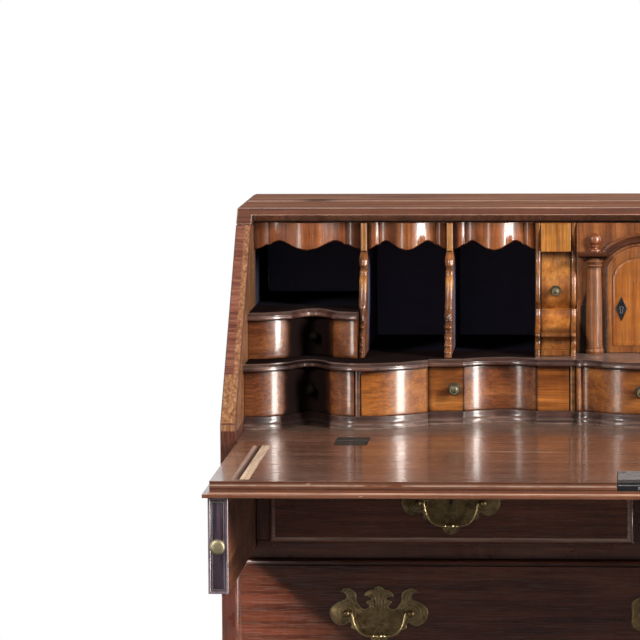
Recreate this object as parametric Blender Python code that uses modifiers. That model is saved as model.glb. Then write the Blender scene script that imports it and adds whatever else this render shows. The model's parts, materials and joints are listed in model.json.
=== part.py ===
"""A slant-front writing desk, standing open.

The fall lies level on two lopers and shows a serpentine fitted interior: drawers whose fronts follow one
plan curve, moulded shelves over them, carved dividers, scalloped valances and a little arched door between
split columns. Under it are two top drawers and three long ones.

Metres, +Z up. The origin lies on the floor under the middle of the open desk, +X is to the right of
someone who sits at it, and the front faces -Y.
"""

import math

import bmesh
import bpy
from mathutils import Matrix, Vector

# Overall sizes
WIDTH = 1.000
DEPTH = 0.463
TOP_HEIGHT = 1.020
WRITING_HEIGHT = 0.760
SLANT_FOOT = 0.020  # the sides rise this far over the writing surface, then slant back at 45 degrees
CLEARANCE = 0.0003  # between pieces that touch
RUNNING = 0.0005  # between pieces that slide
WELD = 0.00003  # points closer than this are one
OVERRUN = 0.010  # how far a cutter passes what it cuts
SINK = 0.001  # how far a fitting is let into the piece that carries it

# Boards
SIDE_THICKNESS = 0.019
TOP_THICKNESS = 0.020
BACK_THICKNESS = 0.012
BOTTOM_THICKNESS = 0.020
RAIL_THICKNESS = 0.020
UPPER_RAIL_THICKNESS = 0.024
MUNTIN_WIDTH = 0.022
EDGE_ROUND = 0.0012

# Base
BASE_HEIGHT = 0.107
BASE_OVERHANG = 0.012
BASE_WALL = 0.028
BASE_MOULDING_HEIGHT = 0.026
BASE_MOULDING_STEP = 0.007
FOOT_LENGTH = 0.135
FOOT_HEIGHT = 0.062
FOOT_SCROLL = 0.045

# Fall, with a lip that closes over the slanted edges of the sides
FALL_OVERLAP = 0.00459  # past the length of the slant
FALL_LIP = 0.0040
FALL_LIP_FRONT = 0.006
FALL_LIP_SIDE = 0.0055
FALL_BODY_GAP = 0.0025
FALL_LIP_ROUND = 0.0022
FALL_OPENS = 135
TOP_REBATE = 0.020
TOP_REBATE_DROP = 0.0097

# Slot near the left end of the fall for a grooved slip of paler wood
SLOT_WIDTH = 0.021
SLOT_LENGTH_SHARE = 0.8285  # of the fall's reach
SLOT_DEPTH = 0.006
SLOT_INSET = 0.0245  # from the inner face of the side
SLOT_START_SHARE = 0.1105  # of the fall's reach, from the hinge

# Lock and back-flap hinges
LOCK_WIDTH = 0.054
LOCK_DEPTH_SHARE = 0.2674  # of the fall's reach
LOCK_THICKNESS = 0.0095
HINGE_WIDTH = 0.039
HINGE_LEAF = 0.038
HINGE_THICKNESS = 0.002
HINGE_BARREL_RADIUS = 0.0025
HINGE_PLACE_SHARE = 0.7125  # of half the inside width
KNUCKLES = 3

# Lopers
LOPER_WIDTH = 0.0224
LOPER_LET_IN = 0.008  # into the rail under it
LOPER_BACK_GAP = 0.023
LOPER_HOLD = 0.090  # what stays in the carcase when it is out
LOPER_SET_BACK = 0.002  # when pushed in
LOPER_KNOB_RADIUS = 0.0089
LOPER_KNOB_LENGTH = 0.013
PARTITION_THICKNESS = 0.018

# Outside drawers. The long ones take these shares of the height that the rails leave, highest first,
# and the top row has the rest.
LONG_DRAWER_SHARES = (0.254287, 0.272451, 0.290615)
DRAWER_LIP = 0.0025
DRAWER_PROUD = 0.010
DRAWER_MOULDING = 0.0088
DRAWER_WALL = 0.010
DRAWER_FRONT = 0.020
DRAWER_BOTTOM = 0.008
DRAWER_BACK_GAP = 0.012
DRAWER_TRAVEL = 0.330

# Batwing handles
PLATE_WIDTH = 0.117
PLATE_ABOVE = 0.0325
PLATE_BELOW = 0.0385
PLATE_THICKNESS = 0.0014
POST_SPACING = 0.077
POST_RADIUS = 0.0042
POST_LENGTH = 0.012
BAIL_ROD_RADIUS = 0.0017
BAIL_DROP = 0.027
BAIL_STANDOFF = 0.0085
BAIL_SWING = 85
HANDLE_PLACE_SHARE = 0.64719  # of half the inside width, on a long drawer
HANDLE_RISE = 0.009  # posts above the middle of the front
ESCUTCHEON_WIDTH = 0.030
ESCUTCHEON_HEIGHT = 0.042
ESCUTCHEON_WAIST_SHARE = 0.25

# Fitted interior: heights as shares of the room from the writing surface to the top board, depths behind
# the carcase front
GALLERY_BASE_SHARE = 0.0625
LOWER_DRAWER_SHARE = 0.23125
MAIN_SHELF_SHARE = 0.033333
UPPER_DRAWER_SHARE = 0.2
SIDE_SHELF_SHARE = 0.035417
SHELF_LIP = 0.0085  # how far a shelf's edge stands before the drawers under it
GALLERY_FRONT = 0.104
GALLERY_SWEEP = 0.083
TIER_SETBACK = 0.060
GALLERY_WALL = 0.008
GALLERY_FACE = 0.2405  # the plane of the prospect front and the tops of the dividers
RUN_STEPS = 5

# Divider centres as shares of half the inside width
OUTER_DIVIDER_SHARE = 0.714
INNER_DIVIDER_SHARE = 0.4927
DOCUMENT_OUTER_SHARE = 0.266
DOCUMENT_INNER_SHARE = 0.1746
WIDE_KNOB_SHARE = 0.4745
SIDE_KNOB_SHARE = 0.839
DIVIDER_FOOT = 0.180
DIVIDER_BOARD = 0.008
DOCUMENT_WALL = 0.007
DOCUMENT_WALL_PROUD = 0.0015  # the shaped walls stand before the drawer between them

# Little drawers inside
SMALL_WALL = 0.005
SMALL_FRONT = 0.008
SMALL_BOTTOM = 0.004
SMALL_TRAVEL = 0.180
KNOB_RADIUS_SHARE = 0.16667  # of an upper drawer's height
KNOB_LENGTH = 0.014

# Valances
VALANCE_DROP_SHARE = 0.141667  # of the room over the writing surface
VALANCE_FACE = 0.2500
VALANCE_WAVE = 0.006
VALANCE_BACK = 0.2640

# Document drawers
DOCUMENT_BLOCK_SHARE = 0.15  # of the room over the writing surface
DOCUMENT_BLOCK_DEPTH = 0.030
DOCUMENT_SWELL = 0.045  # how far the foot of the front comes before the plane of the block

# Prospect front: widths as shares of half the inside width, heights as shares of its own height
PROSPECT_THICKNESS = 0.012
DOOR_THICKNESS = 0.008  # thin, so that its free edge swings clear of the frame
DOOR_WIDTH_SHARE = 0.177547
DOOR_SHOULDER_SHARE = 0.625387
DOOR_ARCH_SHARE = 0.232198
DOOR_RAIL = 0.0055
DOOR_HEAD_RAIL_SHARE = 0.120743
DOOR_FOOT_RAIL = 0.008
DOOR_SHOULDER_STEP = 0.006
DOOR_PANEL_PROUD = 0.0015
DOOR_OPENS = 90
ARCH_SPREAD_SHARE = 0.201663
ARCH_RISE_SHARE = 0.120743
ARCH_MOULDING_PROUD = 0.0050
DIAMOND_WIDTH = 0.0142
DIAMOND_HEIGHT_SHARE = 0.185759
DIAMOND_PLACE = 0.0175  # from the door's free edge
DIAMOND_RISE_SHARE = 0.340557
DIAMOND_THICKNESS = 0.0008
COLUMN_PLACE_SHARE = 0.120582
COLUMN_RADIUS = 0.0110
COLUMN_HEIGHT_SHARE = 0.934985
CAPITAL_SHARE = 0.850  # of the column's height, where the arch stands on the capital
ROUND_STEPS = 20
POST_STEPS = 10

# Values that follow from the sizes above
HALF_WIDTH = WIDTH / 2
HALF_INSIDE = HALF_WIDTH - SIDE_THICKNESS
INNER_BACK = DEPTH - BACK_THICKNESS
TOP_UNDERSIDE = TOP_HEIGHT - TOP_THICKNESS
SLANT_START = WRITING_HEIGHT + SLANT_FOOT
SLOPE_RUN = TOP_HEIGHT - SLANT_START
FALL_REACH = SLOPE_RUN * math.sqrt(2) + FALL_OVERLAP
FALL_BODY = SLANT_FOOT * math.sin(math.radians(45)) + CLEARANCE
SLOT_LENGTH = SLOT_LENGTH_SHARE * FALL_REACH
SLOT_FROM_HINGE = SLOT_START_SHARE * FALL_REACH
LOCK_DEPTH = LOCK_DEPTH_SHARE * FALL_REACH
LOPER_LENGTH = INNER_BACK - LOPER_BACK_GAP
LOPER_OUT = min(FALL_REACH - FALL_LIP_FRONT, LOPER_LENGTH - LOPER_HOLD)
LOPER_FRONT = -LOPER_OUT
REACH = max(FALL_REACH, LOPER_OUT + LOPER_KNOB_LENGTH)
FRONT_Y = (REACH - DEPTH) / 2
BED_UNDERSIDE = WRITING_HEIGHT - FALL_BODY - FALL_LIP
DRAWER_FLOOR = BASE_HEIGHT + BOTTOM_THICKNESS
RAIL_HEIGHTS = UPPER_RAIL_THICKNESS + (len(LONG_DRAWER_SHARES) - 1) * RAIL_THICKNESS
DRAWER_ROOM = BED_UNDERSIDE - DRAWER_FLOOR - RAIL_HEIGHTS
TOP_ROW_FLOOR = BED_UNDERSIDE - (1 - sum(LONG_DRAWER_SHARES)) * DRAWER_ROOM
LOPER_TOP = BED_UNDERSIDE - CLEARANCE
LOPER_FLOOR = TOP_ROW_FLOOR - LOPER_LET_IN
LOPER_BOTTOM = LOPER_FLOOR + CLEARANCE
GALLERY_ROOM = TOP_UNDERSIDE - WRITING_HEIGHT
LOWER_DRAWER_FLOOR = WRITING_HEIGHT + GALLERY_BASE_SHARE * GALLERY_ROOM
MAIN_SHELF_FLOOR = LOWER_DRAWER_FLOOR + LOWER_DRAWER_SHARE * GALLERY_ROOM
MAIN_SHELF_TOP = MAIN_SHELF_FLOOR + MAIN_SHELF_SHARE * GALLERY_ROOM
SIDE_SHELF_FLOOR = MAIN_SHELF_TOP + UPPER_DRAWER_SHARE * GALLERY_ROOM
SIDE_SHELF_TOP = SIDE_SHELF_FLOOR + SIDE_SHELF_SHARE * GALLERY_ROOM
KNOB_RADIUS = KNOB_RADIUS_SHARE * (SIDE_SHELF_FLOOR - MAIN_SHELF_TOP)
VALANCE_DROP = VALANCE_DROP_SHARE * GALLERY_ROOM
DOCUMENT_BLOCK_HEIGHT = DOCUMENT_BLOCK_SHARE * GALLERY_ROOM
OUTER_DIVIDER = OUTER_DIVIDER_SHARE * HALF_INSIDE
INNER_DIVIDER = INNER_DIVIDER_SHARE * HALF_INSIDE
DOCUMENT_OUTER = DOCUMENT_OUTER_SHARE * HALF_INSIDE
DOCUMENT_INNER = DOCUMENT_INNER_SHARE * HALF_INSIDE
PARTITION_PLACE = HALF_INSIDE - LOPER_WIDTH - 2 * RUNNING - CLEARANCE
HANDLE_PLACE = HANDLE_PLACE_SHARE * HALF_INSIDE
PROSPECT_HEIGHT = TOP_UNDERSIDE - MAIN_SHELF_TOP
DOOR_WIDTH = DOOR_WIDTH_SHARE * HALF_INSIDE
DOOR_SHOULDER = DOOR_SHOULDER_SHARE * PROSPECT_HEIGHT
DOOR_ARCH_RISE = DOOR_ARCH_SHARE * PROSPECT_HEIGHT
DOOR_HEAD_RAIL = DOOR_HEAD_RAIL_SHARE * PROSPECT_HEIGHT
ARCH_SPREAD = ARCH_SPREAD_SHARE * HALF_INSIDE
ARCH_RISE = ARCH_RISE_SHARE * PROSPECT_HEIGHT
DIAMOND_HEIGHT = DIAMOND_HEIGHT_SHARE * PROSPECT_HEIGHT
DIAMOND_RISE = DIAMOND_RISE_SHARE * PROSPECT_HEIGHT
COLUMN_PLACE = COLUMN_PLACE_SHARE * HALF_INSIDE
COLUMN_HEIGHT = COLUMN_HEIGHT_SHARE * PROSPECT_HEIGHT
SIDES = (("left", -1), ("right", 1))

# The interior's plan from the middle to the side, as shares: where a run starts and ends along half the
# inside width, how far back it starts and ends in the sweep, and how much it swells forward in between.
PLAN_SHARES = (
    (0.000, 0.102, 0.410, 0.590, 0.045),
    (0.102, 0.134, 0.590, 0.770, -0.036),
    (0.134, 0.166, 0.770, 0.750, 0.048),
    (0.166, 0.266, 0.795, 0.795, 0.000),
    (0.266, 0.451, 0.820, 0.747, -0.217),
    (0.451, 0.5405, 0.747, 0.700, 0.000),
    (0.5405, 0.714, 0.627, 0.108, 0.130),
    (0.714, 0.788, 0.108, 0.313, 0.051),
    (0.788, 0.890, 0.313, 0.313, -0.361),
    (0.890, 1.000, 0.313, 0.000, 0.078),
)

# A shelf edge from its underside up: shares of its lip forward of the fronts, and of its thickness
SHELF_EDGE_SHARES = ((0.55, 0.0), (1.0, 0.12), (1.0, 0.55), (0.62, 0.68), (0.30, 1.0))

# The edge of the interior's base, which leans back as it rises
BASE_EDGE_SHARES = ((1.35, 0.0), (1.35, 0.35), (0.75, 0.70), (0.70, 1.0))

# Bottom edge of a valance over one bay: share of the bay, share of the drop
VALANCE_SHARES = (
    (0.00, 1.00), (0.08, 0.93), (0.14, 0.83), (0.22, 0.80), (0.275, 0.72), (0.33, 0.78), (0.41, 0.92),
    (0.50, 1.00), (0.59, 0.92), (0.67, 0.78), (0.725, 0.72), (0.78, 0.80), (0.86, 0.83), (0.92, 0.93),
    (1.00, 1.00),
)
VALANCE_RIPPLES = 3

# Carving of a divider's front below its square head: share of the way down, share of a bead
CARVING_SHARES = (
    (0.00, 0.0), (0.06, 0.7), (0.11, 1.0), (0.16, 0.6), (0.20, 0.0), (0.23, 0.5), (0.26, 0.0),
    (0.34, 0.3), (0.48, 0.1), (0.60, 0.6), (0.68, 1.0), (0.76, 0.6), (0.82, 0.0), (0.86, 0.5),
    (0.90, 0.1), (1.00, 0.6),
)
CARVING_BEAD = 0.006

# Front of a document drawer from top to bottom: share of its height, share of its swell
DOCUMENT_SHARES = (
    (0.00, -0.25), (0.08, -0.24), (0.18, -0.10), (0.28, 0.04), (0.38, 0.10), (0.48, 0.06), (0.56, -0.08),
    (0.565, 0.02), (0.64, 0.10), (0.72, 0.34), (0.78, 0.60), (0.785, 0.70), (0.82, 0.70), (0.825, 0.52),
    (0.88, 0.46), (0.94, 0.62), (0.945, 0.78), (1.00, 0.78),
)
DOCUMENT_KNOB_POINT = 4  # the knob stands on this point of the front

# Section of the grooved slip: share of the slot's width, share of its depth
SLIP_SHARES = (
    (0.00, 0.00), (1.00, 0.00), (1.00, 1.00), (0.47, 1.00), (0.47, 0.20), (0.38, 0.20), (0.30, 0.40),
    (0.21, 0.70), (0.12, 0.92), (0.00, 1.00),
)

# Half of a batwing plate, from the crest down to the tip: shares of half the width, and of the height
# above or below the posts
PLATE_SHARES = (
    (0.00, 1.00), (0.09, 0.96), (0.15, 0.83), (0.27, 0.79), (0.33, 0.60), (0.22, 0.52), (0.19, 0.34),
    (0.29, 0.20), (0.36, 0.12), (0.47, 0.24), (0.57, 0.52), (0.62, 0.86), (0.72, 0.93), (0.86, 0.72),
    (0.74, 0.62), (0.78, 0.44), (0.93, 0.26), (1.00, 0.02), (0.96, -0.26), (0.82, -0.42), (0.68, -0.42),
    (0.60, -0.36), (0.52, -0.52), (0.36, -0.66), (0.26, -0.72), (0.20, -0.84), (0.09, -0.96), (0.00, -1.00),
)

# Half of a bail from its end to its middle: share of the way in, share of the drop
BAIL_SHARES = (
    (0.00, 0.00), (0.05, 0.00), (0.09, 0.20), (0.14, 0.45), (0.23, 0.68), (0.36, 0.86), (0.54, 0.96),
    (0.77, 1.00),
)

# Bracket foot from the floor up, as shares of its scroll inwards and of its height
FOOT_SHARES = (
    (0.00, 0.00), (0.10, 0.16), (0.02, 0.34), (0.12, 0.50), (0.34, 0.58), (0.52, 0.66), (0.60, 0.82),
    (0.78, 0.94), (1.00, 1.00),
)

# Turned pieces: share of the radius, share of the height, top to bottom
COLUMN_SHARES = (
    (0.00, 1.000), (0.38, 0.988), (0.68, 0.965), (0.74, 0.945), (0.68, 0.925), (0.36, 0.900),
    (0.34, 0.880), (0.62, 0.866), (0.72, CAPITAL_SHARE), (1.25, CAPITAL_SHARE), (1.25, 0.802),
    (0.80, 0.780), (0.68, 0.765), (0.88, 0.748), (0.88, 0.735), (0.70, 0.722), (0.80, 0.420),
    (0.92, 0.060), (1.04, 0.030), (1.08, 0.000), (0.00, 0.000),
)
KNOB_SHARES = (
    (0.00, 1.00), (0.55, 0.94), (0.90, 0.76), (1.00, 0.56), (0.80, 0.34), (0.45, 0.22), (0.50, 0.00),
    (0.00, 0.00),
)
POST_SHARES = (
    (0.00, 1.00), (0.60, 1.00), (1.00, 0.85), (1.00, 0.50), (0.70, 0.30), (0.70, 0.00), (0.00, 0.00),
)
BARREL_SHARES = ((0.00, 1.00), (1.00, 1.00), (1.00, 0.00), (0.00, 0.00))

# Colours: linear RGB, roughness, metallic
FINISHES = {
    "carcase": ((0.085, 0.025, 0.014), 0.35, 0.0),
    "interior": ((0.26, 0.085, 0.026), 0.32, 0.0),
    "panel": ((0.42, 0.17, 0.045), 0.34, 0.0),
    "loper": ((0.032, 0.016, 0.024), 0.35, 0.0),
    "oak": ((0.22, 0.13, 0.065), 0.60, 0.0),
    "slip": ((0.55, 0.44, 0.30), 0.45, 0.0),
    "brass": ((0.30, 0.22, 0.09), 0.38, 1.0),
    "iron": ((0.09, 0.09, 0.10), 0.45, 1.0),
}

# Axes of a flat outline's two directions and of its thickness
PLANES = {
    "plan": (Vector((1, 0, 0)), Vector((0, 1, 0)), Vector((0, 0, 1))),
    "side": (Vector((0, 1, 0)), Vector((0, 0, 1)), Vector((1, 0, 0))),
    "front": (Vector((1, 0, 0)), Vector((0, 0, 1)), Vector((0, -1, 0))),
}


def at(depth):
    """World Y of a point this far behind the front of the carcase."""
    return FRONT_Y + depth


def clear_scene():
    for obj in list(bpy.data.objects):
        bpy.data.objects.remove(obj, do_unlink=True)


def collection(name, hidden=False):
    made = bpy.data.collections.new(name)
    made.hide_render = hidden
    bpy.context.scene.collection.children.link(made)
    return made


def material(name):
    color, roughness, metallic = FINISHES[name]
    made = bpy.data.materials.new(name)
    made.use_nodes = True
    shader = made.node_tree.nodes["Principled BSDF"]
    shader.inputs["Base Color"].default_value = (*color, 1)
    shader.inputs["Roughness"].default_value = roughness
    shader.inputs["Metallic"].default_value = metallic
    made.diffuse_color = (*color, 1)
    return made


def place(name, mesh, finish):
    """A new object for the mesh, with its origin moved to the middle of its box."""
    corners = [vertex.co for vertex in mesh.vertices]
    low = Vector([min(corner[axis] for corner in corners) for axis in range(3)])
    high = Vector([max(corner[axis] for corner in corners) for axis in range(3)])
    middle = (low + high) / 2
    mesh.transform(Matrix.Translation(-middle))
    obj = bpy.data.objects.new(name, mesh)
    obj.location = middle
    mesh.materials.append(material(finish))
    PARTS.objects.link(obj)
    return obj


def finished(name, shape, finish):
    """Turns the faces of a bmesh outwards and makes an object of it."""
    bmesh.ops.recalc_face_normals(shape, faces=shape.faces)
    mesh = bpy.data.meshes.new(name)
    shape.to_mesh(mesh)
    shape.free()
    return place(name, mesh, finish)


def box_shape(xs, ys, zs):
    low, high = (Vector(ends) for ends in zip(xs, ys, zs))
    shape = bmesh.new()
    bmesh.ops.create_cube(shape, size=1)
    bmesh.ops.scale(shape, vec=high - low, verts=shape.verts)
    bmesh.ops.translate(shape, vec=(low + high) / 2, verts=shape.verts)
    return shape


def box(name, xs, ys, zs, finish):
    """A plain board between pairs of coordinates."""
    return finished(name, box_shape(xs, ys, zs), finish)


def moulded_box(name, xs, ys, zs, round_width, finish, steps=3):
    """A board whose front arrises are worked to a thumbnail moulding."""
    shape = box_shape(xs, ys, zs)
    front = min(vertex.co.y for vertex in shape.verts)
    edges = [edge for edge in shape.edges if all(math.isclose(v.co.y, front) for v in edge.verts)]
    bmesh.ops.bevel(shape, geom=edges, offset=round_width, segments=steps, profile=0.5, affect="EDGES")
    return finished(name, shape, finish)


def slab(name, outline, plane, span, finish):
    """A board of the outline's shape, between two places along the plane's normal."""
    curve = bpy.data.curves.new(name, "CURVE")
    curve.dimensions = "2D"
    curve.fill_mode = "BOTH"
    curve.extrude = abs(span[1] - span[0]) / 2
    spline = curve.splines.new("POLY")
    spline.points.add(len(outline) - 1)
    for point, (along, up) in zip(spline.points, outline):
        point.co = (along, up, 0, 1)
    spline.use_cyclic_u = True
    mesh = mesh_of_curve(curve)
    across, upward, normal = PLANES[plane]
    turn = Matrix((across, upward, normal)).transposed().to_4x4()
    direction = normal[0] + normal[1] + normal[2]
    middle = direction * (span[0] + span[1]) / 2
    mesh.transform(turn @ Matrix.Translation((0, 0, middle)))
    return place(name, mesh, finish)


def mesh_of_curve(curve):
    """The curve's solid as a closed mesh. The curve is removed."""
    shape = bpy.data.objects.new(curve.name, curve)
    PARTS.objects.link(shape)
    graph = bpy.context.evaluated_depsgraph_get()
    mesh = bpy.data.meshes.new_from_object(shape.evaluated_get(graph))
    bpy.data.objects.remove(shape, do_unlink=True)
    welded = bmesh.new()
    welded.from_mesh(mesh)
    bmesh.ops.remove_doubles(welded, verts=welded.verts, dist=WELD)
    bmesh.ops.recalc_face_normals(welded, faces=welded.faces)
    welded.to_mesh(mesh)
    welded.free()
    return mesh


def lofted(name, rings, finish):
    """A solid through closed rings of as many points each, capped at the first and the last."""
    shape = bmesh.new()
    rows = [[shape.verts.new(point) for point in ring] for ring in rings]
    for lower, upper in zip(rows, rows[1:]):
        for first in range(len(lower)):
            second = (first + 1) % len(lower)
            shape.faces.new((lower[first], lower[second], upper[second], upper[first]))
    shape.faces.new(rows[0])
    shape.faces.new(reversed(rows[-1]))
    return finished(name, shape, finish)


def turned(name, shares, radius, height, finish, steps=ROUND_STEPS):
    """A solid of revolution round Z with its foot at the origin, from a profile that runs down."""
    shape = bmesh.new()
    points = [shape.verts.new((radius * out, 0, height * up)) for out, up in shares]
    for upper, lower in zip(points, points[1:]):
        shape.edges.new((upper, lower))
    mesh = bpy.data.meshes.new(name)
    shape.to_mesh(mesh)
    shape.free()
    obj = bpy.data.objects.new(name, mesh)
    mesh.materials.append(material(finish))
    PARTS.objects.link(obj)
    screw = obj.modifiers.new("turned", "SCREW")
    screw.steps = steps
    screw.render_steps = steps
    screw.use_merge_vertices = True
    screw.merge_threshold = WELD
    screw.use_smooth_shade = True
    return obj


def combine(obj, tool, operation):
    """Joins the tool to the object, or cuts it out, and keeps the tool as a hidden helper."""
    boolean = obj.modifiers.new(tool.name, "BOOLEAN")
    boolean.operation = operation
    boolean.object = tool
    PARTS.objects.unlink(tool)
    CUTTERS.objects.link(tool)
    tool.hide_render = True
    tool.display_type = "WIRE"


def cut(obj, *tools):
    for tool in tools:
        combine(obj, tool, "DIFFERENCE")


def join(obj, *tools):
    for tool in tools:
        combine(obj, tool, "UNION")


def joint(name, location, pieces):
    """An empty on a joint's axis that carries the pieces which move with it."""
    pivot = bpy.data.objects.new(name, None)
    pivot.location = location
    PARTS.objects.link(pivot)
    for piece in pieces:
        piece.parent = pivot
        piece.matrix_parent_inverse = Matrix.Translation(-Vector(location))
    return pivot


def slide(name, location, pieces, forward, backward=0):
    """A joint that travels along Y, this far to the front and to the back."""
    pivot = joint(name, location, pieces)
    limit = pivot.constraints.new("LIMIT_LOCATION")
    limit.use_min_y = True
    limit.use_max_y = True
    limit.min_y = pivot.location.y - forward
    limit.max_y = pivot.location.y + backward


def hinge(name, location, pieces, axis, low, high):
    """A joint that turns round X or Z between two angles, in degrees."""
    limit = joint(name, location, pieces).constraints.new("LIMIT_ROTATION")
    limit.use_limit_x = axis == "X"
    limit.use_limit_z = axis == "Z"
    limit.min_x = limit.min_z = math.radians(low)
    limit.max_x = limit.max_z = math.radians(high)


def mirrored(span, side):
    """A span on the right, or its mirror on the left, low end first."""
    return tuple(sorted(side * end for end in span))


def plan_runs():
    """The interior's plan from left to right in metres: start, end, the depths there and the swell."""
    half = []
    for start, end, depth, next_depth, swell in PLAN_SHARES:
        places = (start * HALF_INSIDE, end * HALF_INSIDE)
        depths = (depth * GALLERY_SWEEP, next_depth * GALLERY_SWEEP)
        half.append((*places, *depths, swell * GALLERY_SWEEP))
    left = [(-end, -start, next_depth, depth, swell) for start, end, depth, next_depth, swell in half]
    return left[::-1] + half


def gallery_front(start, end, setback=0):
    """Points of the interior's plan between two places across the desk, as X and depth."""
    points = []
    for low, high, depth, next_depth, swell in plan_runs():
        first, last = max(low, start), min(high, end)
        if last - first < CLEARANCE:
            continue
        steps = RUN_STEPS if swell else 1
        for step in range(steps + 1):
            across = first + (last - first) * step / steps
            share = (across - low) / (high - low)
            bulge = 4 * swell * share * (1 - share)
            behind = GALLERY_FRONT + setback + depth + (next_depth - depth) * share - bulge
            point = (across, behind)
            if not points or math.dist(points[-1], point) > CLEARANCE:
                points.append(point)
    return points


def depth_on(front, across):
    """Depth of a run of plan points at a place across the desk."""
    for (low, near), (high, far) in zip(front, front[1:]):
        if low <= across <= high:
            return near + (far - near) * (across - low) / (high - low)


def serpentine_board(name, start, end, zs, edge_shares, finish, setback=0):
    """A shelf whose moulded front edge runs before the drawers under it."""
    front = gallery_front(start, end, setback)
    rings = []
    for out, up in edge_shares:
        height = zs[0] + up * (zs[1] - zs[0])
        ring = [Vector((across, at(behind - out * SHELF_LIP), height)) for across, behind in front]
        ring.append(Vector((end, at(INNER_BACK - CLEARANCE), height)))
        ring.append(Vector((start, at(INNER_BACK - CLEARANCE), height)))
        rings.append(ring)
    return lofted(name, rings, finish)


def pull_knob(name, location, radius, length):
    """A turned knob that stands out to the front from its place on a drawer."""
    knob = turned(name, KNOB_SHARES, radius, length + SINK, "brass")
    knob.rotation_euler = (math.pi / 2, 0, 0)
    knob.location = Vector(location) + Vector((0, SINK, 0))
    return knob


def serpentine_drawer(name, span, zs, knobs, setback=0):
    """A little drawer whose front follows the plan, open at the top."""
    start, end = span[0] + RUNNING, span[1] - RUNNING
    floor, top = zs[0] + CLEARANCE, zs[1] - RUNNING
    front = gallery_front(start, end, setback)
    back = INNER_BACK - DRAWER_BACK_GAP
    outline = [(across, at(behind)) for across, behind in front]
    outline += [(end, at(back)), (start, at(back))]
    drawer = slab(name, outline, "plan", (floor, top), "interior")
    hollow = max(behind for _, behind in front) + SMALL_FRONT
    inside = (start + SMALL_WALL, end - SMALL_WALL)
    cavity = box(
        name + "_cavity", inside, (at(hollow), at(back - SMALL_WALL)),
        (floor + SMALL_BOTTOM, top + OVERRUN), "interior",
    )
    cut(drawer, cavity)
    for number, across in enumerate(knobs):
        spot = (across, at(depth_on(front, across)), (floor + top) / 2)
        join(drawer, pull_knob(f"{name}_knob_{number}", spot, KNOB_RADIUS, KNOB_LENGTH))
    slide(name + "_slide", (sum(span) / 2, at(front[0][1]), floor), [drawer], SMALL_TRAVEL)


def long_drawer_openings():
    """Bottom and top of each long drawer's opening, highest first, as they stack on the bottom board."""
    openings = []
    floor = DRAWER_FLOOR
    for share in reversed(LONG_DRAWER_SHARES):
        height = share * DRAWER_ROOM
        openings.insert(0, (floor, floor + height))
        floor += height + RAIL_THICKNESS
    return openings


def carcase():
    """Sides, boards, rails and partitions."""
    slant = [
        (at(0), BASE_HEIGHT + CLEARANCE), (at(DEPTH), BASE_HEIGHT + CLEARANCE),
        (at(DEPTH), TOP_UNDERSIDE - CLEARANCE),
        (at(SLOPE_RUN - TOP_THICKNESS - CLEARANCE), TOP_UNDERSIDE - CLEARANCE), (at(0), SLANT_START),
    ]
    for word, side in SIDES:
        slab("side_" + word, slant, "side", mirrored((HALF_INSIDE, HALF_WIDTH), side), "carcase")

    inside = (-HALF_INSIDE + CLEARANCE, HALF_INSIDE - CLEARANCE)
    top_edge = [
        (at(SLOPE_RUN), TOP_HEIGHT), (at(SLOPE_RUN - TOP_THICKNESS), TOP_UNDERSIDE),
        (at(DEPTH), TOP_UNDERSIDE), (at(DEPTH), TOP_HEIGHT),
    ]
    top = slab("top_board", top_edge, "side", (-HALF_WIDTH, HALF_WIDTH), "carcase")
    rebate = box(
        "top_rebate", (-HALF_INSIDE, HALF_INSIDE), (at(0), at(SLOPE_RUN + TOP_REBATE)),
        (TOP_UNDERSIDE - OVERRUN, TOP_HEIGHT - TOP_REBATE_DROP), "carcase",
    )
    cut(top, rebate)

    # The back stands on the base between the sides, and every board ends just before it
    box(
        "back_panel", inside, (at(INNER_BACK), at(DEPTH)),
        (BASE_HEIGHT + CLEARANCE, TOP_UNDERSIDE - CLEARANCE), "oak",
    )
    deep = (at(0), at(INNER_BACK - CLEARANCE))
    box("bottom_board", inside, deep, (BASE_HEIGHT + CLEARANCE, DRAWER_FLOOR), "carcase")
    box("writing_bed", inside, (at(CLEARANCE), deep[1]), (BED_UNDERSIDE, WRITING_HEIGHT), "carcase")

    upper = (TOP_ROW_FLOOR - UPPER_RAIL_THICKNESS, TOP_ROW_FLOOR)
    rail = box("rail_upper", inside, deep, upper, "carcase")
    for word, side in SIDES:
        slot = mirrored((PARTITION_PLACE, HALF_INSIDE), side)
        height = (LOPER_FLOOR, TOP_ROW_FLOOR + OVERRUN)
        cut(rail, box("loper_slot_" + word, slot, (at(-OVERRUN), at(DEPTH)), height, "carcase"))
    for name, (bottom, _) in zip(("rail_middle", "rail_lower"), long_drawer_openings()):
        box(name, inside, deep, (bottom - RAIL_THICKNESS, bottom), "carcase")

    standing = (TOP_ROW_FLOOR + CLEARANCE, BED_UNDERSIDE - CLEARANCE)
    box("top_divider", (-MUNTIN_WIDTH / 2, MUNTIN_WIDTH / 2), deep, standing, "carcase")
    for word, side in SIDES:
        across = mirrored((PARTITION_PLACE - PARTITION_THICKNESS, PARTITION_PLACE), side)
        box("loper_partition_" + word, across, deep, standing, "carcase")


def foot_opening(half, height):
    """The gap between two bracket feet, from under the floor up the right bracket and down the left one."""
    right = [(half - FOOT_SCROLL * inward, height * up) for inward, up in FOOT_SHARES]
    left = [(-across, up) for across, up in reversed(right)]
    return [(-half, -OVERRUN), (half, -OVERRUN)] + right + left


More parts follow.
